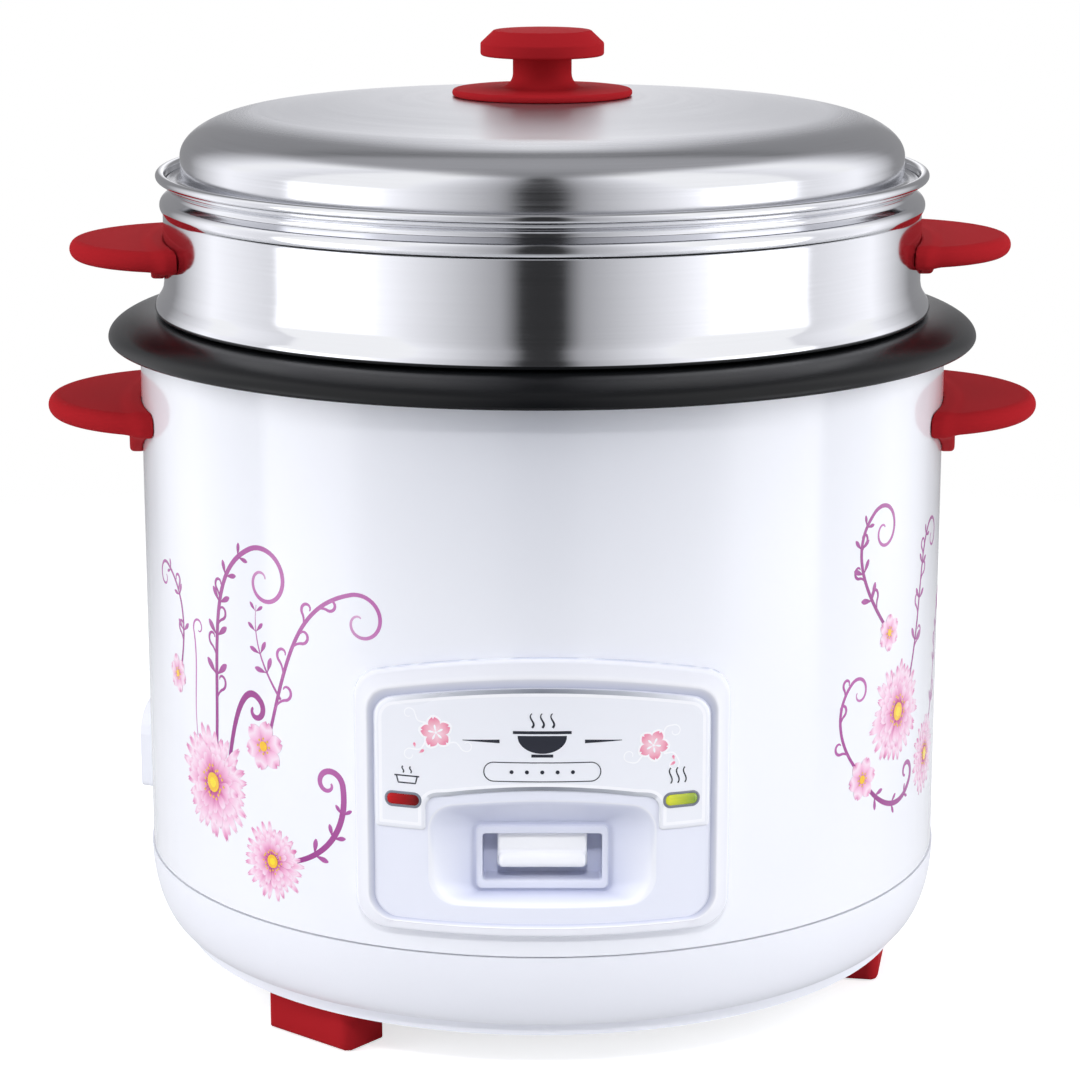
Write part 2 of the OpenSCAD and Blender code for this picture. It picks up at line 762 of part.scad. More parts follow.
module thermostat_screws() {
  color("gray") for (x = thermostat_screw_x) translate([x, 0, plate_bottom - 1.2]) screw(1.6, 3, 1.8, 6.5);
}

module magnet() {
  color("dimgray") translate([0, 0, magnet_top - 8]) cylinder(r = 13, h = 8);
}

module magnet_rod() {
  rod_bottom = lever_top + 0.6;
  color("goldenrod") {
    translate([0, 0, rod_bottom]) cylinder(r = rod_r, h = magnet_top - 9 - rod_bottom);
    translate([0, 0, magnet_top - 9.5]) cylinder(r = 9, h = 1.5);
  }
}

module magnet_spring() {
  color("silver") swept(helix(6.5, magnet_top + 0.6, ferrite_bottom - 0.6, 4), 0.5);
}

module keep_warm_thermostat() {
  color("tan") translate([0, 33, 0]) {
    translate([0, 0, plate_bottom - 8]) cylinder(r = 7.5, h = 8);
    for (x = [-4, 4]) block([x - 1.5, x + 1.5], [-0.4, 0.4], [plate_bottom - 15, plate_bottom - 7]);
  }
}

fuse_z = plate_bottom - 3.3;

module thermal_fuse() {
  color("gainsboro") {
    translate([-12, -33, fuse_z]) rotate([0, 90, 0]) cylinder(r = 2.6, h = 24);
    block([-4, 4], [-37, -29], [plate_bottom - 1.2, plate_bottom]);
  }
}

// ---- Wires ----

inlet_pin_end = r_body - 26;
inlet_pin_z = 58;
joint = 0.4;

// A place seen from the inlet: r out along its own axis and s to its side
function by_inlet(r, s, z) =
  [r * cos(inlet_turn) - s * sin(inlet_turn), r * sin(inlet_turn) + s * cos(inlet_turn), z];

function by_terminal(i, z) = [terminal_r * cos(terminal_turns[i]), terminal_r * sin(terminal_turns[i]), z];

module mains_wires() {
  level = bracket_foot + 4;
  routes = [
    [by_inlet(inlet_pin_end - joint, -7, inlet_pin_z), by_inlet(inlet_pin_end - 8, -7, inlet_pin_z),
     by_inlet(inlet_pin_end - 30, -4, 56), by_terminal(1, 56), by_terminal(1, terminal_end - 6),
     by_terminal(1, terminal_end - joint)],
    [by_inlet(inlet_pin_end - joint, 7, inlet_pin_z), by_inlet(inlet_pin_end - 8, 7, inlet_pin_z),
     [-66, 0, 54], [-52, -22, 60], [-34, -33, 74], [-20, -33, fuse_z], [-12 - joint, -33, fuse_z]],
    [[12 + joint, -33, fuse_z], [18, -33, fuse_z], [26, -38, fuse_z - 14], [25, -43, 56],
     [16, -47, 44], [6, -58, 39], [4, -68, level], [4, -74 + joint, level]],
    [[-4, -74 + joint, level], [-4, -68, level], [-8, -52, 34], [-26, -30, 30], [-52, 10, 36],
     [-34, 44, 48], by_terminal(0, 54), by_terminal(0, terminal_end - 6),
     by_terminal(0, terminal_end - joint)]
  ];
  color("royalblue") for (route = routes) swept(smooth(route), 1.2, across = [0.35, 0.9, 0.2]);
}

module lamp_wires() {
  start = [lens_x - 8.4, -(r_body - 13), lens_z - 4];
  color("firebrick") for (side = [-1, 1]) {
    meet = [side < 0 ? -4 : 6, side < 0 ? -92 : -82];
    swept(smooth([
      [side * start[0], start[1], start[2] - 8], [side * (start[0] + 1), start[1] + 1, 66],
      [side * 34, start[1] + 12, 48], [side * 20, -97, 28], [meet[0] + side * 3, meet[1], 25],
      [meet[0], meet[1], 27], [meet[0], meet[1], bracket_foot - joint]
    ]), 0.8, across = [0.35, 0.9, 0.2]);
  }
}

// ---- Power inlet ----

inlet_screw_sides = [-17, 17];
inlet_screw_z = 60;
inlet_screw_r = 1.4;

module inlet_housing() {
  w = inlet_w / 2;
  outline = rounded([[-w, inlet_z[0]], [w, inlet_z[0]], [w, inlet_z[1]], [-w, inlet_z[1]]], [2, 2, 12, 12]);
  color("white") rotate([0, 0, inlet_turn]) difference() {
    union() {
      difference() {
        side_prism(outline, r_body - 8, inlet_face);
        translate([0, 0, inlet_z[0] - 1]) cylinder(r = r_body + skin, h = inlet_z[1] - inlet_z[0] + 2);
      }
      side_prism(box_outline(tub_w / 2, tub_z, 2), r_body - 18, r_body + 2);
    }
    side_prism(box_outline(tub_w / 2 - 2, [tub_z[0] + 2, tub_z[1] - 2], 3), r_body - 16, inlet_face + 1);
    for (s = inlet_pin_sides)
      translate([r_body - 20, s, inlet_pin_z]) rotate([0, 90, 0]) cylinder(r = 2 + thread_gap, h = 10);
    for (s = inlet_screw_sides) translate([r_body - 12, s, inlet_screw_z]) rotate([0, 90, 0]) {
      cylinder(r = inlet_screw_r + hole_gap, h = 30);
      translate([0, 0, 15.2]) cylinder(r = 2.7, h = 20);
    }
  }
}

inlet_pin_sides = [-7, 7];

module inlet_pins() {
  color("goldenrod") rotate([0, 0, inlet_turn]) for (s = inlet_pin_sides)
    translate([inlet_pin_end, s, inlet_pin_z]) rotate([0, 90, 0]) cylinder(r = 2, h = 22);
}

module inlet_screws() {
  color("gray") rotate([0, 0, inlet_turn]) for (s = inlet_screw_sides)
    translate([r_body + 3.2, s, inlet_screw_z]) rotate([0, -90, 0]) screw(inlet_screw_r, 2.4, 1.4, 8);
}

// ---- Pot, steamer and lid ----

module inner_pot() {
  floor_z = pot_bottom + pot_t;
  crown = r_pot + 4;
  path = concat(
    [[0, floor_z]],
    arc([r_pot - 16, floor_z + 16], [16, 16], -90, 0, 8),
    arc([crown, rim_top - 4], [4, 4], 180, 95, 6),
    arc([crown, rim_edge_z], [r_rim - crown, rim_rise], 90, 0, 12)
  );
  color("dimgray") sheet(path, -pot_t);
}

// The holes of the steamer's floor, ring by ring
module floor_holes(z) {
  translate([0, 0, z - 1]) cylinder(r = 2.5, h = 3);
  for (i = [1:6], k = [0:6 * i - 1])
    rotate([0, 0, 60 * k / i]) translate([15 * i, 0, z - 1]) cylinder(r = 2.5, h = 3);
}

module steamer_basket() {
  floor_z = seat_z - steamer_drop;
  bead = 0.9;
  bead_c = [r_neck + 2.1 + bead, steamer_top - bead - steamer_t];
  path = concat(
    [[0, floor_z]],
    arc([r_skirt - 6, floor_z + 6], [6, 6], -90, 0, 5),
    [[r_skirt, seat_z - 1.8], [r_skirt + 1.8, seat_z], [r_steamer + 1.6, seat_z],
     [r_steamer + 3.2, seat_z + 1.4], [r_steamer + 2.6, seat_z + 3.2], [r_steamer + 0.6, seat_z + 6.4],
     [r_steamer, seat_z + 9]],
    arc([r_steamer - 1.6, ledge_z - 6.6], [2.6, 2.8], -50, 60, 6),
    [[r_neck + 0.2, ledge_z - 2.6], [r_neck, ledge_z - 1.8], [r_neck + 0.2, ledge_z - 1],
     [r_neck + 1.8, ledge_z], [r_neck + 2.1, ledge_z + 0.6]],
    arc(bead_c, [bead, bead], 180, -80, 9)
  );
  color("silver") rotate([0, 0, steamer_turn]) difference() {
    sheet(path, steamer_t);
    floor_holes(floor_z);
    for (turn = steamer_screw_turns)
      outward(turn, r_steamer - 5, steamer_handle_z) cylinder(r = 1.6 + hole_gap, h = 8);
  }
}

// Height of the lid's dome at radius r
function dome_z(r) = lid_top - dome_h * pow(r / join_r, 2);

module lid() {
  hole_r = 2.4;
  path = concat(
    [for (i = [0:10]) let (r = hole_r + (join_r - hole_r) * i / 10) [r, dome_z(r)]],
    arc([r_lid - shoulder_w, shoulder_z], [shoulder_w, shoulder_h], join_turn - 6, 0, 13),
    [[r_lid, brim_z + 1.2], [r_lid + 0.4, brim_z + 0.4], [r_lid + 1.4, brim_z], [r_lid + 4.4, brim_z]]
  );
  color("silver") sheet(path, -lid_t);
}

module lid_knob() {
  seat = dome_z(flange_r - 3) + 0.05;
  top = lid_top + knob_h;
  head_bottom = top - 8;
  r = knob_d / 2;
  outline = concat(
    [[0, top], [r - 4.2, top], [r, top - 4], [r, head_bottom + 1], [r - 1, head_bottom]],
    arc([stem_r + 1.5, head_bottom - 1.5], [1.5, 1.5], 90, 180, 4),
    arc([stem_r + 4.5, seat + 7.3], [4.5, 4.5], 180, 270, 6),
    arc([flange_r - 1.1, seat + 1.1], [1.1, 1.1], 80, -90, 6),
    [[flange_r - 3, seat], [flange_r - 3.6, lid_top + 0.8], [1.95, lid_top + 0.8],
     [1.95, lid_top + 13], [0, lid_top + 13]]
  );
  color("firebrick") rotate_extrude() polygon(outline);
}

module knob_washer() {
  color("gray") ring(2.4, 7, lid_top - lid_t - 1, lid_top - lid_t - 0.1);
}

module knob_screw() {
  color("gray") translate([0, 0, lid_top - lid_t - 1]) screw(1.9, 4, 2.4, 12);
}

outer_body();
inner_liner();
base_ring();
bottom_cover();
foot(foot_turns[0]);  // foot_front_left
foot(foot_turns[1]);  // foot_right
foot(foot_turns[2]);  // foot_rear_left
foot_screws();
cover_screws();
base_ring_screws();
mirror([1, 0, 0]) body_handle();  // body_handle_left
body_handle();  // body_handle_right
body_handle_screws();
panel_frame();
panel_plate();
label_plate();
panel_screws();
color("red") lens(-1);  // cook_lens
color("yellowgreen") lens(1);  // warm_lens
lamp(-1);  // cook_lamp
lamp(1);  // warm_lamp
switch_button();
switch_lever();
lever_pin();
switch_bracket();
bracket_screws();
microswitch();
microswitch_screws();
switch_plunger();
heating_plate();
element_terminals();
plate_spacers();
plate_screws();
sensor_cup();
ferrite_disc();
sensor_spring();
sensor_guide();
thermostat_bracket();
thermostat_screws();
magnet();
magnet_rod();
magnet_spring();
keep_warm_thermostat();
thermal_fuse();
mains_wires();
lamp_wires();
inlet_housing();
inlet_pins();
inlet_screws();
inner_pot();
steamer_basket();
rotate([0, 0, steamer_turn + 180]) steamer_handle();  // steamer_handle_left
rotate([0, 0, steamer_turn]) steamer_handle();  // steamer_handle_right
steamer_handle_screws();
lid();
lid_knob();
knob_screw();
knob_washer();
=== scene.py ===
"""Looks of the rice cooker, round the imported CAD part. Lengths are in millimetres until a mesh is made."""

import math

import bmesh
import bpy
import numpy as np
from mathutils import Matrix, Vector
from mathutils.geometry import delaunay_2d_cdt

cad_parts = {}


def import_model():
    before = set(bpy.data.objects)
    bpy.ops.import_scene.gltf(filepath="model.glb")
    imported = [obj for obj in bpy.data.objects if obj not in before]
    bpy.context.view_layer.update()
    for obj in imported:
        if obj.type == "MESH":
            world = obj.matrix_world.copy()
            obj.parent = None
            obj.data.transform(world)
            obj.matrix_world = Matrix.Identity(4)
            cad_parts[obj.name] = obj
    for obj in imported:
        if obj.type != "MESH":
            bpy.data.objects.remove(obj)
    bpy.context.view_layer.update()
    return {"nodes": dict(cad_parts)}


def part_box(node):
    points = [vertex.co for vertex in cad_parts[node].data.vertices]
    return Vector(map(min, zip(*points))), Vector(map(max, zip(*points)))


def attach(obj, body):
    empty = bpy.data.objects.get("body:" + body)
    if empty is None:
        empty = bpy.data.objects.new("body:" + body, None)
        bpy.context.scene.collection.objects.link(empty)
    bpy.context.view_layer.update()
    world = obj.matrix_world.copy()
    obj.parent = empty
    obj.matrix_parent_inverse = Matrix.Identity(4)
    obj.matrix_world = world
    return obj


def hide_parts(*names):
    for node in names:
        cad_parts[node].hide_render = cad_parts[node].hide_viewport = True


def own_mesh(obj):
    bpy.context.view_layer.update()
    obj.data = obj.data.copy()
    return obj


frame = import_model()

MM = 0.001
TAU = 2 * math.pi

# ---- Sizes shared with the CAD part ----

R_BODY = 130.0
BODY_TOP = 212.0
SEAM = 43.0
RING_TOP = 42.6
R_PANEL = 132.2
R_LABEL = 132.8
R_RIM = 140.0
RIM_EDGE = 211.3
RIM_TOP = 218.5
R_POT = 117.0
SEAT = 218.8
R_STEAMER = 121.7
R_NECK = 119.3
LEDGE = 259.6
STEAMER_TOP = 263.8
STEAMER_TURN = 2.5
R_LID = 115.9
BRIM = 260.75
SHOULDER = 268.2
LID_TOP = 286.66
JOIN_R = 91.82
DOME_H = 4.57
FLANGE_R = 28.8
STEM_R = 9.4
HANDLE_Z = 187.0
STEAMER_HANDLE_Z = 238.4
POCKET_FLOOR = 122.2
WELL_FLOOR = 114.6
INLET_TURN = 158.0
FOOT_TURNS = (-40, 80, 200)
BODY_T, POT_T, STEEL_T = 0.8, 1.6, 0.6
# half width, bottom and top of the openings in the body
PANEL_HOLE = (47, 57, 122)
INLET_HOLE = (15.4, 48.1, 71.9)


# ---- Outlines ----

def arc(c, a, start, end, n=12):
    return [(c[0] + a[0] * math.cos(math.radians(t)), c[1] + a[1] * math.sin(math.radians(t)))
            for t in np.linspace(start, end, n + 1)]


def polar(centre, r, a):
    return centre[0] + r * math.cos(a), centre[1] + r * math.sin(a)


def circle(centre, r, t):
    return np.stack([centre[0] + r * np.cos(t), centre[1] + r * np.sin(t)], 1)


def left_of(steps):
    """Unit vectors to the left of the steps of a path."""
    d = steps / np.linalg.norm(steps, axis=1)[:, None]
    return np.stack([-d[:, 1], d[:, 0]], 1)


def beside(path, t):
    """The path moved to its left by t."""
    p = np.array(path, float)
    left = left_of(np.diff(p, axis=0))
    a = np.vstack([left[:1], left])
    b = np.vstack([left, left[-1:]])
    return p + t * (a + b) / (1 + (a * b).sum(1))[:, None]


def corner(a, b, c, r, n=10):
    """The arc of radius r that rounds the corner b between a and c."""
    a, b, c = (np.array(v, float) for v in (a, b, c))
    u = (a - b) / np.linalg.norm(a - b)
    v = (c - b) / np.linalg.norm(c - b)
    half = math.acos(float(np.clip(u @ v, -1, 1))) / 2
    m = (u + v) / np.linalg.norm(u + v)
    centre = b + m * r / math.sin(half)
    s = b + u * r / math.tan(half) - centre
    e = b + v * r / math.tan(half) - centre
    t0 = math.atan2(s[1], s[0])
    sweep = (math.atan2(e[1], e[0]) - t0 + 3 * math.pi) % TAU - math.pi
    return circle(centre, r, t0 + sweep * np.linspace(0, 1, n + 1))


def window_loop(w, bottom, top, sag, r):
    """A closed XZ outline with an arched top. All such loops match point by point."""
    n, side, across = 10, 12, 40

    def roof(x):
        return top - sag * (x / w) ** 2

    step = w / 6
    low_r = corner((-w, bottom), (w, bottom), (w, top - sag), r, n)
    top_r = corner((w, bottom), (w, top - sag), (w - step, roof(w - step)), r, n)
    top_l = top_r[::-1] * (-1, 1)
    low_l = low_r[::-1] * (-1, 1)

    def between(p, q, k):
        return p + (q - p) * np.linspace(0, 1, k + 1)[1:-1, None]

    x = np.linspace(top_r[-1][0], top_l[0][0], across + 1)[1:-1]
    arch = np.stack([x, roof(x)], 1)
    arch[:, 1] += (top_r[-1][1] - roof(top_r[-1][0])) * np.abs(x / top_r[-1][0]) ** 8
    return np.vstack([between(low_l[-1], low_r[0], across), low_r, between(low_r[-1], top_r[0], side), top_r,
                      arch, top_l, between(top_l[-1], low_l[0], side), low_l])


def on_cylinder(loop, r):
    loop = np.asarray(loop, float)
    return np.stack([loop[:, 0], -np.sqrt(r * r - loop[:, 0] ** 2), loop[:, 1]], 1)


def at_depth(loop, depth):
    loop = np.asarray(loop, float)
    return np.stack([loop[:, 0], np.full(len(loop), -float(depth)), loop[:, 1]], 1)


# ---- Meshes ----

FILL_STEP = 2.0
SNAP_STEPS, SNAP_EASE = 4, 0.8

def add_object(name, data):
    obj = bpy.data.objects.new(name, data)
    bpy.context.scene.collection.objects.link(obj)
    return obj


def mesh_object(name, verts, faces, body, material, replaces=(), angle=35, tone=None):
    """tone is a number at each vertex, from 0 for the plain colour to 1 for its material's deepest shade. On the
    panel's frame, plate, label and lenses it is painted shade; on the prints it picks print colours.
    """
    mesh = bpy.data.meshes.new(name)
    mesh.from_pydata([tuple(v) for v in np.asarray(verts, float) * MM], [], [tuple(f) for f in faces])
    if tone is not None:
        mesh.attributes.new("tone", "FLOAT", "POINT").data.foreach_set("value", np.asarray(tone, np.float32))
    bm = bmesh.new()
    bm.from_mesh(mesh)
    bmesh.ops.remove_doubles(bm, verts=bm.verts, dist=1e-7)
    bmesh.ops.recalc_face_normals(bm, faces=bm.faces)
    bm.to_mesh(mesh)
    bm.free()
    obj = add_object(name, mesh)
    finish_piece(obj, body, material, replaces, angle)
    return obj


def finish_piece(obj, body, material, replaces=(), angle=35):
    shade(obj.data, angle)
    obj.data.materials.clear()
    obj.data.materials.append(material)
    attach(obj, body)
    if replaces:
        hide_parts(*replaces)


def shade(mesh, angle):
    mesh.shade_smooth()
    mesh.set_sharp_from_angle(angle=math.radians(angle))


def turned(name, profile, body, material, replaces=(), n=360, turn=0.0, closed=True, angle=35):
    """A closed XZ profile turned about Z. Points on the axis are shared."""
    profile = [(float(r), float(z)) for r, z in profile]
    t = np.linspace(0, TAU, n, endpoint=False) + math.radians(turn)
    cos, sin = np.cos(t), np.sin(t)
    verts, rows = [], []
    for r, z in profile:
        if r < 1e-6:
            rows.append([len(verts)] * n)
            verts.append((0, 0, z))
        else:
            rows.append(list(range(len(verts), len(verts) + n)))
            verts.extend(zip(r * cos, r * sin, [z] * n))
    faces = []
    steps = list(zip(rows, rows[1:])) + ([(rows[-1], rows[0])] if closed else [])
    for a, b in steps:
        for i in range(n):
            j = (i + 1) % n
            face = list(dict.fromkeys((a[i], a[j], b[j], b[i])))
            if len(face) > 2:
                faces.append(face)
    return mesh_object(name, verts, faces, body, material, replaces, angle)


def sheet_profile(path, t):
    return list(map(tuple, path)) + [tuple(p) for p in beside(path, t)[::-1]]


def loft_faces(count, n, start=0):
    faces = []
    for k in range(count - 1):
        a, b = start + k * n, start + (k + 1) * n
        for i in range(n):
            j = (i + 1) % n
            faces.append((a + i, a + j, b + j, b + i))
    return faces


def lofted(name, loops, body, material, replaces=(), angle=35, cap=False, tone=None):
    """tone has one number, or one for each point, for each loop."""
    n = len(loops[0])
    verts = np.vstack(loops)
    if tone is not None:
        tone = np.concatenate([np.broadcast_to(t, n) for t in tone])
    faces = loft_faces(len(loops), n)
    if cap:
        faces.append(tuple(range((len(loops) - 1) * n, len(loops) * n)))
    return mesh_object(name, verts, faces, body, material, replaces, angle, tone)


def filled(outline):
    """Vertices and faces of a filled XZ outline, its own points first, fine enough to be curved later."""
    outline = np.asarray(outline, float)
    lo, hi = outline.min(0), outline.max(0)
    x = np.arange(lo[0] + FILL_STEP / 2, hi[0], FILL_STEP)
    z = np.arange(lo[1] + FILL_STEP / 2, hi[1], FILL_STEP * 2)
    points = [Vector(p) for p in outline] + [Vector((a, b)) for a in x for b in z]
    verts, _, faces, _, _, _ = delaunay_2d_cdt(points, [], [list(range(len(outline)))], 1, 1e-4)
    flat = np.array([tuple(v) for v in verts])
    return flat, [tuple(f) for f in faces]


def surface(sdf, lo, hi, h):
    """The mesh of sdf = 0 on a grid of spacing h, by surface nets. Its points are then moved onto the surface."""
    axes = [np.arange(lo[i] - 2 * h, hi[i] + 3 * h, h) for i in range(3)]
    grid = np.meshgrid(*axes, indexing="ij")
    d = sdf(*grid)
    shape = np.array(d.shape) - 1
    total = np.zeros((*shape, 3))
    count = np.zeros(shape)
    corners = [(i, j, k) for i in (0, 1) for j in (0, 1) for k in (0, 1)]

    def part(c):
        return d[c[0]:c[0] + shape[0], c[1]:c[1] + shape[1], c[2]:c[2] + shape[2]]

    for a in corners:
        for b in corners:
            if a < b and sum(abs(p - q) for p, q in zip(a, b)) == 1:
                da, db = part(a), part(b)
                hit = (da < 0) != (db < 0)
                t = np.where(hit, da / np.where(hit, da - db, 1), 0)
                for i in range(3):
                    total[..., i] += np.where(hit, a[i] + t * (b[i] - a[i]), 0)
                count += hit
    used = count > 0
    number = np.full(shape, -1)
    number[used] = np.arange(used.sum())
    cells = np.argwhere(used)
    origin = np.array([a[0] for a in axes])
    verts = origin + h * (cells + total[used] / count[used][:, None])
    faces = []
    inside = d < 0
    for axis in range(3):
        u, v = [(1, 2), (2, 0), (0, 1)][axis]
        near = [slice(0, -1) if i == axis else slice(1, -1) for i in range(3)]
        far = [slice(1, None) if i == axis else slice(1, -1) for i in range(3)]
        change = inside[tuple(near)] != inside[tuple(far)]
        flip = inside[tuple(far)][change]
        at = np.argwhere(change)
        at[:, u] += 1
        at[:, v] += 1

        def cell(du, dv):
            c = at.copy()
            c[:, u] -= du
            c[:, v] -= dv
            return number[c[:, 0], c[:, 1], c[:, 2]]

        quad = np.stack([cell(1, 1), cell(0, 1), cell(0, 0), cell(1, 0)], 1)
        quad[flip] = quad[flip][:, ::-1]
        faces.extend(map(tuple, quad))
    e = h * 0.05
    for _ in range(SNAP_STEPS):
        f = sdf(*verts.T)
        g = np.stack([sdf(*(verts + e * unit).T) - sdf(*(verts - e * unit).T) for unit in np.eye(3)], 1) / (2 * e)
        size = (g * g).sum(1)
        step = np.clip(f / np.maximum(size, 0.2), -h, h)
        verts = verts - SNAP_EASE * step[:, None] * g
    return verts, faces


def smooth_min(a, b, k):
    m = np.clip(0.5 + 0.5 * (b - a) / k, 0, 1)
    return b + (a - b) * m - k * m * (1 - m)


def smooth_max(a, b, k):
    return -smooth_min(-a, -b, k)


def rounded_join(a, b, r):
    """The intersection of two solids, its outer edge rounded to radius r."""
    p, q = a + r, b + r
    return np.hypot(np.maximum(p, 0), np.maximum(q, 0)) + np.minimum(np.maximum(p, q), 0) - r


def spun(verts, degrees):
    """The points turned about Z."""
    c, s = math.cos(math.radians(degrees)), math.sin(math.radians(degrees))
    x, y, z = verts.T
    return np.stack([x * c - y * s, x * s + y * c, z], 1)


def rounded_box(x, y, z, centre, half, r):
    qx = np.abs(x - centre[0]) - half[0] + r
    qy = np.abs(y - centre[1]) - half[1] + r
    qz = np.abs(z - centre[2]) - half[2] + r
    outside = np.sqrt(np.maximum(qx, 0) ** 2 + np.maximum(qy, 0) ** 2 + np.maximum(qz, 0) ** 2)
    return outside + np.minimum(np.maximum(qx, np.maximum(qy, qz)), 0) - r


# ---- Materials ----

def wired(tree, kind, inputs, out=0, **options):
    """The output of a new node. inputs gives sockets, by name or number, a value or another node's output."""
    node = tree.nodes.new("ShaderNode" + kind)
    for option, value in options.items():
        setattr(node, option, value)
    for socket, value in inputs.items():
        if isinstance(value, bpy.types.NodeSocket):
            tree.links.new(value, node.inputs[socket])
        else:
            node.inputs[socket].default_value = value
    return node.outputs[out] if node.outputs else None


def blank_tree(owner):
    owner.use_nodes = True
    owner.node_tree.nodes.clear()
    return owner.node_tree


def calc(tree, operation, *values):
    return wired(tree, "Math", dict(enumerate(values)), operation=operation)


def split_xyz(tree, vector):
    return wired(tree, "SeparateXYZ", {0: vector}).node.outputs


def noise(tree, vector, scale, detail, rough=0.5):
    return wired(tree, "TexNoise",
                 {"Vector": vector, "Scale": scale, "Detail": detail, "Roughness": rough}, "Fac")


def ramp(tree, value, stops):
    node = tree.nodes.new("ShaderNodeValToRGB")
    elements = node.color_ramp.elements
    for element, (position, color) in zip((elements[0], elements[1]), (stops[0], stops[-1])):
        element.position, element.color = position, (*color, 1)
    for position, color in stops[1:-1]:
        elements.new(position).color = (*color, 1)
    tree.links.new(value, node.inputs["Fac"])
    return node.outputs["Color"]


def remap(tree, value, low, high, from_low, from_high):
    return wired(tree, "MapRange", {"Value": value, "From Min": from_low, "From Max": from_high,
                                    "To Min": low, "To Max": high}, "Result")


def bump(tree, shader, height, strength, distance):
    normal = wired(tree, "Bump", {"Strength": strength, "Distance": distance, "Height": height}, "Normal")
    tree.links.new(normal, shader.inputs["Normal"])


def srgb(r, g, b):
    return tuple(((v / 255 + 0.055) / 1.055) ** 2.4 if v > 10 else v / 255 / 12.92 for v in (r, g, b))


def shift(color, k):
    return tuple(min(1.0, c * k) for c in color)


def material(name, color, rough, metal=0.0, coat=0.0, coat_rough=0.05, ior=1.5, spec=0.5):
    mat = bpy.data.materials.new(name)
    mat.use_nodes = True
    mat.diffuse_color = (*color, 1)
    shader = mat.node_tree.nodes["Principled BSDF"]
    for socket, value in {"Base Color": (*color, 1), "Roughness": rough, "Metallic": metal, "Coat Weight": coat,
                          "Coat Roughness": coat_rough, "IOR": ior, "Specular IOR Level": spec}.items():
        shader.inputs[socket].default_value = value
    return mat, mat.node_tree, shader


GRAIN_DEPTH = 0.00005
BRUSH_DEPTH = 0.00003
SLOW_SCALE = 16


def plain(name, rgb, rough, vary=0.04, scale=900, strength=0.15, tint=0.04, shades=None, **more):
    """A moulded or painted surface: fine grain in its height, and slow changes of colour and gloss.
    shades are the stops of colour that the mesh's tone picks from; on the panel's pieces and lenses they paint
    shade and highlight."""
    color = srgb(*rgb)
    mat, tree, shader = material(name, color, rough, **more)
    where = wired(tree, "TexCoord", {}, "Object")
    slow = noise(tree, where, SLOW_SCALE, 1)
    if shades:
        tone = wired(tree, "Attribute", {}, "Fac", attribute_name="tone")
        stirred = calc(tree, "ADD", tone, remap(tree, slow, -tint, tint, 0, 1))
        color_out = ramp(tree, stirred, [(at, srgb(*shade_rgb)) for at, shade_rgb in shades])
    else:
        color_out = ramp(tree, slow, [(0.0, shift(color, 1 - tint)), (1.0, shift(color, 1 + tint))])
    tree.links.new(color_out, shader.inputs["Base Color"])
    tree.links.new(remap(tree, slow, rough - vary, rough + vary, 0, 1), shader.inputs["Roughness"])
    if strength:
        bump(tree, shader, noise(tree, where, scale, 2), strength, GRAIN_DEPTH)
    return mat


def printed(name, rgb, rough, tint, **more):
    return plain(name, rgb, rough, vary=0.02, strength=0.0, tint=tint, **more)


def metal(name, rgb, rough, fine=2600, strength=0.12, tint=0.06, vary=0.05, satin=None):
    """Steel with fine brushed lines round the Z axis. satin is (height, roughness) of a duller top."""
    color = srgb(*rgb)
    mat, tree, shader = material(name, color, rough, metal=1.0)
    place = wired(tree, "TexCoord", {}, "Object")
    x, y, z = split_xyz(tree, place)
    flat = wired(tree, "VectorMath", {0: place, 1: (1, 1, 0)}, operation="MULTIPLY")
    radius = wired(tree, "VectorMath", {0: flat}, "Value", operation="LENGTH")
    reach = calc(tree, "SUBTRACT", radius, z)
    ring = wired(tree, "CombineXYZ", {0: x, 1: y, 2: reach})
    stretched = wired(tree, "Mapping", {"Vector": ring, "Scale": (14, 14, fine)})
    lines = noise(tree, stretched, 1, 2, 0.6)
    shades = ramp(tree, lines, [(0.2, shift(color, 1 - tint)), (0.8, color)])
    tree.links.new(shades, shader.inputs["Base Color"])
    level = remap(tree, z, rough, satin[1], satin[0] - 0.004, satin[0] + 0.003) if satin else rough
    gloss = calc(tree, "ADD", remap(tree, lines, -vary, vary, 0.2, 0.8), level)
    tree.links.new(gloss, shader.inputs["Roughness"])
    bump(tree, shader, lines, strength, BRUSH_DEPTH)
    return mat


PLASTIC = (243, 244, 250)
STEEL = (214, 215, 219)

white_paint = plain("white_paint", (246, 247, 252), 0.16, vary=0.03, scale=300, strength=0.01, tint=0.01,
                    coat=0.7, coat_rough=0.03)
white_plastic = plain("white_plastic", PLASTIC, 0.3, scale=1400, strength=0.03, tint=0.01, coat=0.25,
                      coat_rough=0.12)
# frame_plastic's shades are painted light: a white highlight on the lip and grey and lavender shade at the edges
# and down the inner wall
frame_plastic = plain("frame_plastic", PLASTIC, 0.25, vary=0.03, scale=1400, strength=0.03, tint=0.01, coat=0.3,
                      coat_rough=0.1,
                      shades=[(0, (250, 250, 254)), (0.25, (234, 235, 243)), (1, (196, 200, 222))])
# a brighter copy of the white plastic: painted light for the button, which sits in shade in its recess
button_brightened_plastic = plain("button_brightened_plastic", (252, 252, 254), 0.2, vary=0.03, scale=1400, strength=0.02, tint=0.006,
                       coat=0.6, coat_rough=0.06)
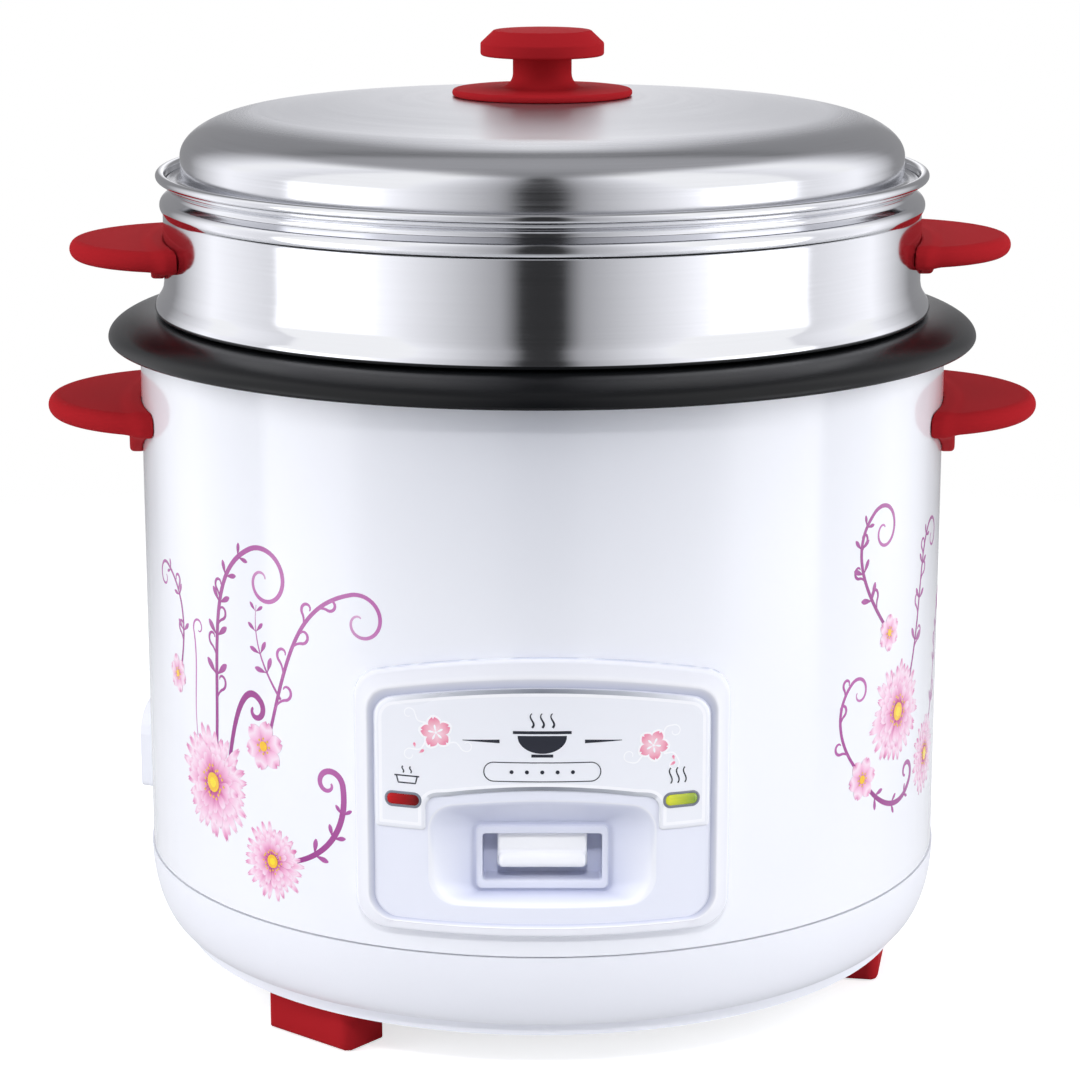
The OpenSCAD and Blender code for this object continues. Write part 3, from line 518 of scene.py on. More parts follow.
# panel_plastic's shades are painted light: a highlight on the pocket's rim and shade down its slopes and in the
# switch's well
panel_plastic = plain("panel_plastic", (236, 238, 248), 0.33, scale=1400, strength=0.03, tint=0.01, coat=0.2,
                      coat_rough=0.15, shades=[(0, (247, 248, 254)), (0.1, (236, 238, 249)),
                                               (0.5, (206, 210, 231)), (1, (140, 146, 180))])
red_plastic = plain("red_plastic", (170, 35, 41), 0.5, vary=0.05, scale=1500, strength=0.08, ior=1.05, spec=0.2)
# label_film's grey stops paint a dark reflection on the label's bevel along its top arch and sill
label_film = plain("label_film", (245, 245, 249), 0.28, vary=0.02, strength=0.01, tint=0.008, coat=0.4,
                   shades=[(0, (252, 252, 255)), (0.1, (242, 243, 248)), (0.6, (178, 181, 189)),
                           (1, (132, 136, 145))])
pot_black = plain("nonstick_pot", (15, 16, 18), 0.26, vary=0.05, scale=2200, strength=0.5, tint=0.2, ior=1.3)
lid_steel = metal("lid_steel", STEEL, 0.16, fine=1400, strength=0.05, satin=(0.281, 0.36))
steamer_steel = metal("steamer_steel", STEEL, 0.1, fine=1500, strength=0.02, tint=0.03, vary=0.02)
zinc = metal("zinc_steel", (190, 194, 198), 0.38, fine=900, tint=0.15, vary=0.1)
screw = metal("screw_steel", (180, 181, 184), 0.3, fine=1500, tint=0.12)
cast = plain("cast_aluminium", (190, 191, 195), 0.45, vary=0.08, scale=700, strength=0.5, tint=0.08, metal=1.0)
black = plain("black_plastic", (38, 38, 41), 0.5, tint=0.1)
brown = plain("brown_plastic", (112, 66, 36), 0.45, tint=0.15)
ceramic = plain("ceramic", (233, 228, 214), 0.3, coat=0.3)
ferrite = plain("ferrite", (62, 62, 66), 0.6, tint=0.15, strength=0.4)
brass = metal("brass", (205, 170, 98), 0.28, fine=1500, tint=0.1)
wire_blue = plain("wire_blue", (52, 84, 170), 0.4, tint=0.06)
wire_red = plain("wire_red", (178, 40, 36), 0.4, tint=0.06)
# the lens stops paint shade: lighter on the lens's left, darker on its right
lens_red = printed("lens_red", (160, 8, 16), 0.3, 0.1, coat=0.25, coat_rough=0.1, ior=1.2,
                   shades=[(0, (188, 10, 18)), (1, (104, 4, 10))])
lens_green = printed("lens_green", (176, 196, 20), 0.12, 0.05, coat=0.8,
                     shades=[(0, (222, 224, 24)), (1, (128, 160, 20))])
socket_grey = plain("socket_grey", (120, 124, 136), 0.3, tint=0.1)
lamp_glass, _, lamp_shader = material("lamp_glass", srgb(255, 214, 170), 0.05)
lamp_shader.inputs["Transmission Weight"].default_value = 0.8

slots = {"stainless": steamer_steel}
for mat in (white_paint, white_plastic, red_plastic, pot_black, cast, zinc, screw, label_film, lens_red,
            lens_green, lamp_glass, black, brown, ceramic, ferrite, brass, wire_blue, wire_red):
    slots[mat.name.split(".")[0]] = mat
for node in frame["nodes"].values():
    for s in node.material_slots:
        s.material = slots[s.material.name.split(".")[0]]
    shade(node.data, 32)

# ---- Camera, as fitted to the photo's outline ----

camera = add_object("camera", bpy.data.cameras.new("camera"))
camera.location = (0, -1.032, 0.3814)
camera.rotation_euler = (math.radians(76.843), 0, 0)
camera.data.sensor_width = 36
camera.data.lens = 106.92
camera.data.shift_x = -0.0021
camera.data.clip_start = 0.05
bpy.context.scene.camera = camera

# ---- Body ----

def shell_grid():
    """The painted body's outer face as a grid in angle and height, without its panel and inlet openings."""
    panel_w, panel_low, panel_high = PANEL_HOLE
    inlet_w, inlet_low, inlet_high = INLET_HOLE
    half = math.degrees(math.asin(panel_w / R_BODY))
    side = math.degrees(inlet_w / R_BODY)
    edges = [270 - half, 270 + half, INLET_TURN - side, INLET_TURN + side]
    turns = np.unique(np.round(np.concatenate([np.arange(0, 360, 1.0), edges]), 6))
    keep = [t for t in turns if t in np.round(edges, 6) or min(abs(t - e) for e in edges) > 0.3]
    turns = np.array(keep)
    path = [(R_BODY, z) for z in (SEAM, 45, inlet_low, panel_low, inlet_high, 80, 100, panel_high, 140, 160,
                                 180, 200)]
    path += arc((R_BODY - 3, BODY_TOP - 3), (3, 3), 0, 90, 8) + [(123.6, BODY_TOP)]
    path = np.array(path)
    n = len(turns)
    verts = [(r * math.cos(math.radians(t)), r * math.sin(math.radians(t)), z) for r, z in path for t in turns]
    faces = []
    for k in range(len(path) - 1):
        mid_z = (path[k][1] + path[k + 1][1]) / 2
        for i in range(n):
            j = (i + 1) % n
            mid = (turns[i] + (turns[j] if j else 360)) / 2
            if abs(mid - 270) < half and panel_low < mid_z < panel_high:
                continue
            if abs(mid - INLET_TURN) < side and inlet_low < mid_z < inlet_high:
                continue
            faces.append((k * n + i, k * n + j, (k + 1) * n + j, (k + 1) * n + i))
    return verts, faces


def thickened(obj, t):
    modifier = obj.modifiers.new("thick", "SOLIDIFY")
    modifier.thickness = t * MM
    modifier.offset = -1
    modifier.use_rim = True
    bpy.context.view_layer.update()
    mesh = bpy.data.meshes.new_from_object(obj.evaluated_get(bpy.context.evaluated_depsgraph_get()))
    obj.modifiers.clear()
    old, obj.data = obj.data, mesh
    bpy.data.meshes.remove(old)
    shade(mesh, 35)


verts, faces = shell_grid()
shell = mesh_object("body_shell", verts, faces, "base", white_paint, ["outer_body"])
thickened(shell, BODY_T)


def base_profile():
    axis = (120.5, RING_TOP)
    drop = RING_TOP - 18
    outer = arc(axis, (10, drop), 0, -86, 28) + [(119.6, 18.0), (108, 18)]
    inner = [(108, 20.5)] + arc(axis, (7.5, drop - 2.5), -90, -6, 24)
    return outer + inner + [(119, 40.5), (119, SEAM), (128.5, SEAM), (128.5, RING_TOP), (129.9, RING_TOP)]


turned("base_band", base_profile(), "base", white_plastic, ["base_ring"])

# ---- Pot ----

crown = R_POT + 4
pot_path = ([(0, 107.6)] + arc((R_POT - 16, 123.6), (16, 16), -90, 0, 16)
            + arc((crown, RIM_TOP - 4), (4, 4), 180, 95, 10)
            + arc((crown, RIM_EDGE), (R_RIM - crown, RIM_TOP - RIM_EDGE), 90, 3, 30)
            + arc((R_RIM - 1.6, RIM_EDGE), (1.6, 1.3), 0, -50, 5))
turned("pot_shell", sheet_profile(pot_path, -POT_T), "pot", pot_black, ["inner_pot"], angle=50)

# ---- Steamer ----

bead_r = 0.9
bead = (R_NECK + 3.0, STEAMER_TOP - 1.5)
steamer_path = (arc((106, 204.8), (6, 6), -90, 0, 8)
                + [(112, 217), (113.8, SEAT), (123.3, SEAT), (124.6, 219.6), (124.9, 220.6), (124.3, 222.2),
                   (122.9, 224.4), (122.1, 226.2), (121.75, 228.6), (R_STEAMER, 234), (R_STEAMER, 250.1),
                   (R_STEAMER, 250.6)]
                + arc((120.1, 253), (2.6, 2.8), -50, 60, 10)
                + [(119.6, 256.6), (119.32, 257.2), (R_NECK, 257.8), (119.45, 258.5), (119.9, 259),
                   (121.1, LEDGE), (121.35, 260.1)]
                + arc(bead, (bead_r, bead_r), 180, -80, 14))
turned("steamer_wall", sheet_profile(steamer_path, STEEL_T), "steamer", steamer_steel,
       ["steamer_basket"], turn=STEAMER_TURN, angle=50)


HOLE_PITCH, HOLE_R, HOLE_RINGS = 15, 2.5, 6
PLATE_R, PLATE_Z = 106.1, 199.1


def steamer_floor(name):
    """A flat disc with a hole in its middle and rings of six, twelve and more holes round it."""
    curve = bpy.data.curves.new(name, "CURVE")
    curve.dimensions = "2D"
    curve.fill_mode = "BOTH"
    circles = [(0, 0, PLATE_R, 180), (0, 0, HOLE_R, 20)]
    for ring in range(1, HOLE_RINGS + 1):
        circles += [(*polar((0, 0), HOLE_PITCH * ring, TAU * k / (6 * ring)), HOLE_R, 20)
                    for k in range(6 * ring)]
    for cx, cy, r, n in circles:
        spline = curve.splines.new("POLY")
        spline.points.add(n - 1)
        spline.use_cyclic_u = True
        for i in range(n):
            x, y = polar((cx, cy), r, TAU * i / n)
            spline.points[i].co = (x * MM, y * MM, 0, 1)
    curve.extrude = STEEL_T / 2 * MM
    temp = add_object(name + "_curve", curve)
    bpy.context.view_layer.update()
    mesh = bpy.data.meshes.new_from_object(temp.evaluated_get(bpy.context.evaluated_depsgraph_get()))
    bpy.data.objects.remove(temp)
    c, s = math.cos(math.radians(STEAMER_TURN)), math.sin(math.radians(STEAMER_TURN))
    for v in mesh.vertices:
        x, y, h = v.co
        v.co = (x * c - y * s, x * s + y * c, h + PLATE_Z * MM)
    finish_piece(add_object(name, mesh), "steamer", steamer_steel)


steamer_floor("steamer_floor")

# ---- Lid ----

KNOB_HOLE_R = 2.4
lid_path = ([(r, LID_TOP - DOME_H * (r / JOIN_R) ** 2)
             for r in (KNOB_HOLE_R + (JOIN_R - KNOB_HOLE_R) * i / 16 for i in range(17))]
            + arc((85.5, SHOULDER), (30.4, 14.25), 75, 0, 26)
            + [(R_LID, BRIM + 2.0), (R_LID + 0.12, BRIM + 1.1), (R_LID + 0.5, BRIM + 0.4),
               (R_LID + 1.2, BRIM + 0.05), (R_LID + 1.8, BRIM), (120.3, BRIM)])
turned("lid_shell", sheet_profile(lid_path, -STEEL_T), "lid", lid_steel, ["lid"], angle=50)

# ---- Springs in the thermostat ----

def spring(node, r, turns, wire, body):
    """A coil of wire wound from the bottom to the top of the node's box."""
    low, high = (float(box_corner[2]) / MM for box_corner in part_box(node))
    t = np.linspace(0, 1, 40 * turns + 1)
    a, b = TAU * turns * t, np.linspace(0, TAU, 12, endpoint=False)
    rise = low + wire + (high - low - 2 * wire) * t
    out = r + wire * np.cos(b)
    loops = [np.stack([out * math.cos(u), out * math.sin(u), z + wire * np.sin(b)], 1) for u, z in zip(a, rise)]
    first, last = (np.repeat(loop.mean(0)[None], len(b), 0) for loop in (loops[0], loops[-1]))
    obj = lofted(node + "_coil", [first, *loops, last], body, zinc, [node], angle=60)
    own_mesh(obj)


spring("sensor_spring", 18.6, 6, 0.6, "base")
spring("magnet_spring", 6.5, 4, 0.5, "sensor")

# ---- Knob ----

knob_seat = LID_TOP - DOME_H * ((FLANGE_R - 3) / JOIN_R) ** 2 + 0.05
knob_top = LID_TOP + 20.4
head_low = knob_top - 8
knob_r = 19.75


def round_path(points, radii):
    """An open path with each inner corner rounded to its radius."""
    out = [tuple(points[0])]
    for i in range(1, len(points) - 1):
        if radii[i] > 0:
            out += [tuple(p) for p in corner(points[i - 1], points[i], points[i + 1], radii[i], 6)]
        else:
            out.append(tuple(points[i]))
    return out + [tuple(points[-1])]


knob_path = round_path(
    [(0, knob_top), (knob_r - 4.2, knob_top), (knob_r, knob_top - 4), (knob_r, head_low), (STEM_R, head_low),
     (STEM_R, knob_seat + 2.8), (FLANGE_R, knob_seat + 2.2), (FLANGE_R, knob_seat), (FLANGE_R - 3, knob_seat),
     (FLANGE_R - 3.6, LID_TOP + 0.8), (1.95, LID_TOP + 0.8), (1.95, LID_TOP + 13), (0, LID_TOP + 13)],
    [0, 1.2, 1.0, 0.9, 1.6, 4.3, 1.05, 0.9, 0, 0, 0, 0, 0])
turned("knob", knob_path, "lid", red_plastic, ["lid_knob"], closed=False, n=240, angle=40)

# ---- Handles ----

PAD_MID, PAD_HALF, WALL_GAP = 1.9, 2.3, 0.12


def handle_sdf(r_wall, reach, w, z0, t, drop, pad_w, blend):
    """A bow of thickness t that leaves the wall by reach, blended into a pad that lies on the wall."""
    chord = math.sqrt(r_wall ** 2 - w * w / 4)
    rise = r_wall + reach - chord
    big = (rise ** 2 + w * w / 4) / (2 * rise)
    cx = r_wall + reach - big
    e = t / 2

    def sdf(x, y, z):
        flat = np.hypot(x - cx, y) - (big - e)
        wing = np.hypot(np.maximum(flat, 0), z - z0) - e
        wing = np.where(flat < 0, np.abs(z - z0) - e, wing)
        rad = np.hypot(x, y)
        shell = np.abs(rad - (r_wall + PAD_MID)) - PAD_HALF
        top, bottom = z0 + e, z0 - e - drop
        slope = (w / 2 - 3 - pad_w) / (drop + 1)
        side = (np.abs(y) - pad_w - slope * np.clip(z - bottom, 0, drop + 1)) / math.hypot(1, slope)
        shield = rounded_join(rounded_join(side, z - (top - 0.6), 1.5), bottom - z, 3.0)
        pad = rounded_join(shell, shield, 1.3)
        both = smooth_min(wing, pad, blend)
        return np.maximum(both, r_wall + WALL_GAP - rad)
    return sdf


def make_handle(name, left, args, body, node, turn=0.0):
    r_wall, reach, w, z0, t, drop = args[:6]
    verts, faces = surface(handle_sdf(*args), (r_wall - 26, -w / 2 - 12, z0 - t / 2 - drop - 2),
                           (r_wall + reach + 1, w / 2 + 12, z0 + t / 2 + 3), 0.7)
    if left:
        verts = verts * (-1, -1, 1)
    mesh_object(name, spun(verts, turn), faces, body, red_plastic, [node], angle=60)


BODY_HANDLE = (R_BODY, 31, 92, HANDLE_Z, 7, 12.5, 9, 4.0)
STEAMER_HANDLE = (R_STEAMER, 30.3, 80, STEAMER_HANDLE_Z, 6.6, 6.8, 8, 4.0)
make_handle("grip_left", True, BODY_HANDLE, "base", "body_handle_left")
make_handle("grip_right", False, BODY_HANDLE, "base", "body_handle_right")
left_steamer, right_steamer = sorted(
    ("steamer_handle_left", "steamer_handle_right"), key=lambda n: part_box(n)[0].x)
make_handle("steamer_grip_left", True, STEAMER_HANDLE, "steamer", left_steamer, STEAMER_TURN)
make_handle("steamer_grip_right", False, STEAMER_HANDLE, "steamer", right_steamer, STEAMER_TURN)

# ---- Feet ----

FOOT_W, FOOT_D, FOOT_TOP = 18, 9, 14
FOOT_Y, FOOT_SCREW_Y = -106, -102.5
WELL_R, WELL_TOP, BORE_R = 4.6, 4, 2.3


def foot_sdf(x, y, z):
    """A block with rounded edges, a well for its screw's head and a hole for the shank."""
    block = rounded_box(x, y, z, (0, FOOT_Y, 7.6), (FOOT_W, FOOT_D, 7.6), 1.2)
    plan = rounded_box(x, y, z, (0, FOOT_Y, 7), (FOOT_W, FOOT_D, 20), 4.0)
    solid = smooth_max(np.maximum(block, plan), z - FOOT_TOP, 0.01)
    from_screw = np.hypot(x, y - FOOT_SCREW_Y)
    well = np.maximum(from_screw - WELL_R, z - WELL_TOP)
    return np.maximum(solid, np.maximum(-well, BORE_R - from_screw))


verts, faces = surface(foot_sdf, (-FOOT_W, FOOT_Y - FOOT_D, 0), (FOOT_W, FOOT_Y + FOOT_D, FOOT_TOP), 0.6)
for name, turn in zip(("foot_front_left", "foot_right", "foot_rear_left"), FOOT_TURNS):
    mesh_object(name + "_pad", spun(verts, turn), faces, "base", red_plastic, [name], angle=50)

# ---- Control panel ----

def blended(a, b, t):
    return a + (b - a) * t


def laid(rows, place):
    """Outlines put in place, each on its own radius or depth."""
    return [place(loop, r) for loop, r in rows]


FRAME_BACK, FRAME_EDGE, FRAME_TOP = 130.1, 132.4, 133.4
outer = window_loop(55.7, 50.3, 135.5, 7.4, 9)
outer_in = window_loop(54.7, 51.3, 134.5, 7.4, 8.4)
crown_loop = window_loop(52.6, 52.9, 131.6, 6.9, 8)
lip_loop = window_loop(51.9, 53.2, 129.9, 6.4, 7.8)
inside = window_loop(50.0, 54.0, 127.0, 5.8, 7)
# each row is a loop, its radius and its tone, which is painted light: a grey line at the outer edge, a white
# highlight on the lip and lavender shade down the inner wall
frame_rows = [(outer, FRAME_BACK, 0.3), (outer, FRAME_EDGE, 0.3)]
for a, tone in ((25, 0.25), (50, 0.2), (75, 0.16)):
    edge = blended(outer, outer_in, 1 - math.cos(math.radians(a)))
    frame_rows.append((edge, FRAME_EDGE + math.sin(math.radians(a)), tone))
frame_rows += [(outer_in, FRAME_TOP, 0.14), (crown_loop, FRAME_TOP, 0.1),
               (blended(crown_loop, lip_loop, 0.6), 133.6, 0.0), (lip_loop, 133.5, 0.0),
               (blended(lip_loop, inside, 0.12), FRAME_TOP, 0.25),
               (blended(lip_loop, inside, 0.35), 133.0, 0.5), (blended(lip_loop, inside, 0.8), 132.5, 0.8),
               (inside, 132.35, 0.95), (inside, FRAME_BACK, 1.0), (outer, FRAME_BACK, 1.0)]
lofted("panel_border", laid([row[:2] for row in frame_rows], on_cylinder), "base", frame_plastic,
       ["panel_frame"], angle=45, tone=[row[2] for row in frame_rows])

plate_edge = window_loop(50.2, 53.8, 127.2, 5.8, 7.1)
pocket_edge = window_loop(33.2, 59.7, 91.9, 3.4, 8)
pocket_out = window_loop(34.0, 58.9, 92.7, 3.4, 8.6)
bezel_out = window_loop(19.5, 62.1, 81.7, 0.02, 1.6)
bezel_foot = window_loop(20.6, 61.0, 82.8, 0.02, 2.4)
window_edge = window_loop(17.8, 64.6, 79.3, 0.02, 1.0)
slot_edge = window_loop(9, 68.5, 77.3, 0.02, 0.5)
well_back = window_loop(19.4, 63, 80.9, 0.02, 1.0)

plate_loops = laid([(plate_edge, FRAME_BACK), (plate_edge, 132.0),
                    (blended(plate_edge, pocket_out, 0.015), R_PANEL)]
                   + [(blended(plate_edge, pocket_out, t), R_PANEL) for t in np.linspace(0.08, 1, 13)]
                   + [(blended(pocket_out, pocket_edge, 0.5), R_PANEL - 0.08)], on_cylinder)
SLOPE_START = len(plate_loops)
pocket_rim, pocket_floor = on_cylinder(pocket_edge, R_PANEL), at_depth(bezel_foot, POCKET_FLOOR)
for t in (0.02, 0.05, 0.1, 0.2, 0.32, 0.45, 0.58, 0.7, 0.82, 0.92, 0.97, 1.0):
    loop = blended(pocket_rim, pocket_floor, t)
    loop[:, 1] += 0.35 * math.exp(-(t / 0.05) ** 2)
    plate_loops.append(loop)
plate_loops += laid([(blended(bezel_foot, bezel_out, 0.6), POCKET_FLOOR), (bezel_out, POCKET_FLOOR + 0.1),
                     (bezel_out, POCKET_FLOOR + 0.7)]
                    + [(blended(bezel_out, window_edge, t), POCKET_FLOOR + up)
                       for t, up in ((0.06, 0.93), (0.2, 1.0), (0.8, 1.0), (0.94, 0.9))]
                    + [(window_edge, POCKET_FLOOR + 0.6), (window_edge, POCKET_FLOOR - 2),
                       (window_edge, POCKET_FLOOR - 5), (window_edge, WELL_FLOOR), (slot_edge, WELL_FLOOR),
                       (slot_edge, WELL_FLOOR - 1.4)], at_depth)
WELL_START = len(plate_loops) - 5
back = laid([(well_back, WELL_FLOOR - 1.4), (well_back, POCKET_FLOOR - 1.6),
             (window_loop(21.1, 60.5, 83.3, 0.02, 2.0), POCKET_FLOOR - 1.6)], at_depth)
back += laid([(window_loop(34.8, 58.1, 93.5, 3.4, 9.4), 129.6), (plate_edge, FRAME_BACK)], on_cylinder)


def plate_painted_shade(k, loop):
    """Painted light on the plate: a painted highlight on the pocket's rim, its slopes painted darker towards its
    floor, most at the top, and the switch's well painted deepest.
    """
    t = (k - SLOPE_START) / 12
    if k < SLOPE_START:
        return 0.0 if k == SLOPE_START - 1 else 0.1
    if t <= 1:
        up = np.clip((loop[:, 2] - 76) / 12, -1, 1)
        return np.clip(0.02 + 0.42 * t + 0.2 * np.maximum(up, 0) * (1 - 0.6 * t)
                       + 0.18 * np.maximum(-up, 0) * (2 * t - 1), 0, 1)
    return 0.22 if k < WELL_START else 0.4 + 0.1 * np.abs(loop[:, 0]) / 18


# the hidden back of the pocket is painted in deep shade
lofted("panel_face", plate_loops + back, "base", panel_plastic, ["panel_plate"], angle=42,
       tone=[plate_painted_shade(k, loop) for k, loop in enumerate(plate_loops)] + [0.9] * len(back))


def label_outline(inset=0.0):
    """The label's outline moved inwards by inset. Every inset has the same count of points."""
    w, leg, foot, sill, knee, top, sag = 49.6, 34.5, 82.0, 95.6, 28.0, 126.6, 5.8
    shoulder_w, bow, step_h = 8, 2.6, 3.4
    top_r, foot_r, knee_r = 6.6, 1.2, 4

    def path(i):
        half, shoulder = w - i, w - i - shoulder_w
        roof = [(x, top - i - sag * (x / w) ** 2) for x in np.linspace(shoulder, -shoulder, 41)]
        edge = top - i - sag * (half / w) ** 2
        row = [(x, sill + i - bow * (x / knee) ** 2) for x in np.linspace(-knee, knee, 21)]
        step = sill + i - step_h
        points = ([(leg + i, foot + i), (half, foot + i), (half, edge)] + roof
                  + [(-half, edge), (-half, foot + i), (-leg - i, foot + i), (-leg - i, step)]
                  + row + [(leg + i, step)])
        out_r, in_r = max(foot_r - i, 0.3), knee_r + i
        radii = ([out_r, out_r, top_r - i] + [0] * len(roof) + [top_r - i, out_r, out_r, in_r] + [0] * len(row)
                 + [in_r])
        out = []
        for k, r in enumerate(radii):
            if r > 0:
                out += list(corner(points[k - 1], points[k], points[(k + 1) % len(points)], r, 8))
            else:
                out.append(np.array(points[k]))
        return np.array(out)

    rim = path(0)
    counts = [max(1, int(np.linalg.norm(q - p) / 2.0)) for p, q in zip(rim, np.roll(rim, -1, 0))]
    own = path(inset)
    sides = zip(own, np.roll(own, -1, 0), counts)
    return np.array([p + (q - p) * t / k for p, q, k in sides for t in range(k)])


def label_plate(name, r_low, r_top):
    """A thin plate with a bevelled edge, painted dark as a reflection in the middle of its top arch and sill, a
    lighter line painted as highlight beside it, round a plain middle.
    """
    outlines = [label_outline(v) for v in (0, 0.12, 0.3, 1.25, 1.3, 2.2, 2.25)]
    radii = [r_top - 0.3, r_top - 0.1] + [r_top] * 5
    rim = outlines[0]
    n = len(rim)
    # painted reflection on the bevel: darkest in the middle of the top arch and the sill, fading to the sides
    level = np.clip(1 - np.abs(rim[:, 0]) / 46, 0, 1) ** 0.8
    across = (rim[:, 1] > 117) | ((np.abs(rim[:, 0]) < 33) & (rim[:, 1] > 90))
    painted_reflection_band = np.where(across, 0.1 + 0.9 * level, 0.12)
    tones = [painted_reflection_band, painted_reflection_band, painted_reflection_band, painted_reflection_band, 0, 0, 0.1]
    flat, faces = filled(outlines[-1])
    verts, tone = [on_cylinder(flat, r_top)], [np.full(len(flat), 0.1)]
    start = len(flat)
    for outline, r, shade_level in zip(outlines, radii, tones):
        verts.append(on_cylinder(outline, r))
        tone.append(np.broadcast_to(shade_level, n))
    count = len(outlines)
    faces += loft_faces(count, n, start)
    back = start + count * n
    flat_back, back_faces = filled(rim)
    verts.append(on_cylinder(flat_back, r_low))
    tone.append(np.full(len(flat_back), 0.1))
    faces += [tuple(back + i for i in f[::-1]) for f in back_faces]
    faces += [(start + i, start + (i + 1) % n, back + (i + 1) % n, back + i) for i in range(n)]
    mesh_object(name, np.vstack(verts), faces, "base", label_film, ["label_plate"], angle=40,
                tone=np.concatenate(tone))


label_plate("label_face", 132.25, R_LABEL)


def slot_outline(w, h, r, n=12):
    """A rounded box outline about the origin, run anticlockwise."""
    out = []
    for cx, cz, start in ((w - r, -h + r, -90), (w - r, h - r, 0), (-w + r, h - r, 90), (-w + r, -h + r, 180)):
        out += arc((cx, cz), (r, r), start, start + 90, n)
    return np.array(out)


LENS_X, LENS_Z = 41, 91


def lens(name, side, mat, node):
    """A lamp's lens, painted lighter on its left and darker on its right as shade, and the grey ring round it.
    side is -1 for the left one and 1 for the right one.
    """
    turn = math.radians(side * math.degrees(math.asin(LENS_X / R_PANEL)))
    w, h, r_corner = 5.0, 1.7, 1.55

    def rolled(loop, r):
        a = turn + loop[:, 0] / R_PANEL
        return np.stack([r * np.sin(a), -r * np.cos(a), LENS_Z + loop[:, 1]], 1)

    dome = ((0, 127.5), (0, 132.75), (0.1, 132.98), (0.35, 133.12), (0.8, 133.19), (1.3, 133.2))
    loops = [rolled(slot_outline(w - inset, h - inset, r_corner - inset if inset < 1.3 else 0.3), r)
             for inset, r in dome]
    # painted shade across the lens, from light at its left edge to dark at its right
    across = np.clip(0.5 + slot_outline(w, h, r_corner)[:, 0] / (2 * w), 0, 1)
    lofted(name, loops, "base", mat, [node], angle=50, cap=True, tone=[across] * len(loops))
    ring = ((0.02, 132.5), (0.02, 132.95), (0.25, 133.02), (0.55, 133.0), (0.75, 132.85), (0.75, 132.5))
    surround = [rolled(slot_outline(w + grow, h + grow, 1.6 + grow), r) for grow, r in ring]
    lofted(name + "_rim", surround, "base", socket_grey, angle=50)


lens("cook_light", -1, lens_red, "cook_lens")
lens("warm_light", 1, lens_green, "warm_lens")


ROLL_Y, ROLL_Z, ROLL_R = -121.5, 70.75, 2.35


def button_sdf(x, y, z):
    """The switch's button: a flat tab with a slot, and a rounded roll along its lower edge."""
    tab = rounded_box(x, y, z, (0, -118.5, 73.65), (13.4, 2.5, 5.25), 0.9)
    roll = np.hypot(y - ROLL_Y, z - ROLL_Z) - ROLL_R
    roll = rounded_join(roll, np.abs(x) - 13.0, 1.3)
    slot = rounded_box(x, y, z, (0, -116.8, 74.5), (8.1, 2.2, 2.1), 0.2)
    return np.maximum(smooth_min(tab, roll, 1.2), -slot)


verts, faces = surface(button_sdf, (-13.5, -124, 68.3), (13.5, -116, 79), 0.35)
mesh_object("button_cap", verts, faces, "lever", button_brightened_plastic, ["switch_button"], angle=50)

# ---- Printed decorations ----

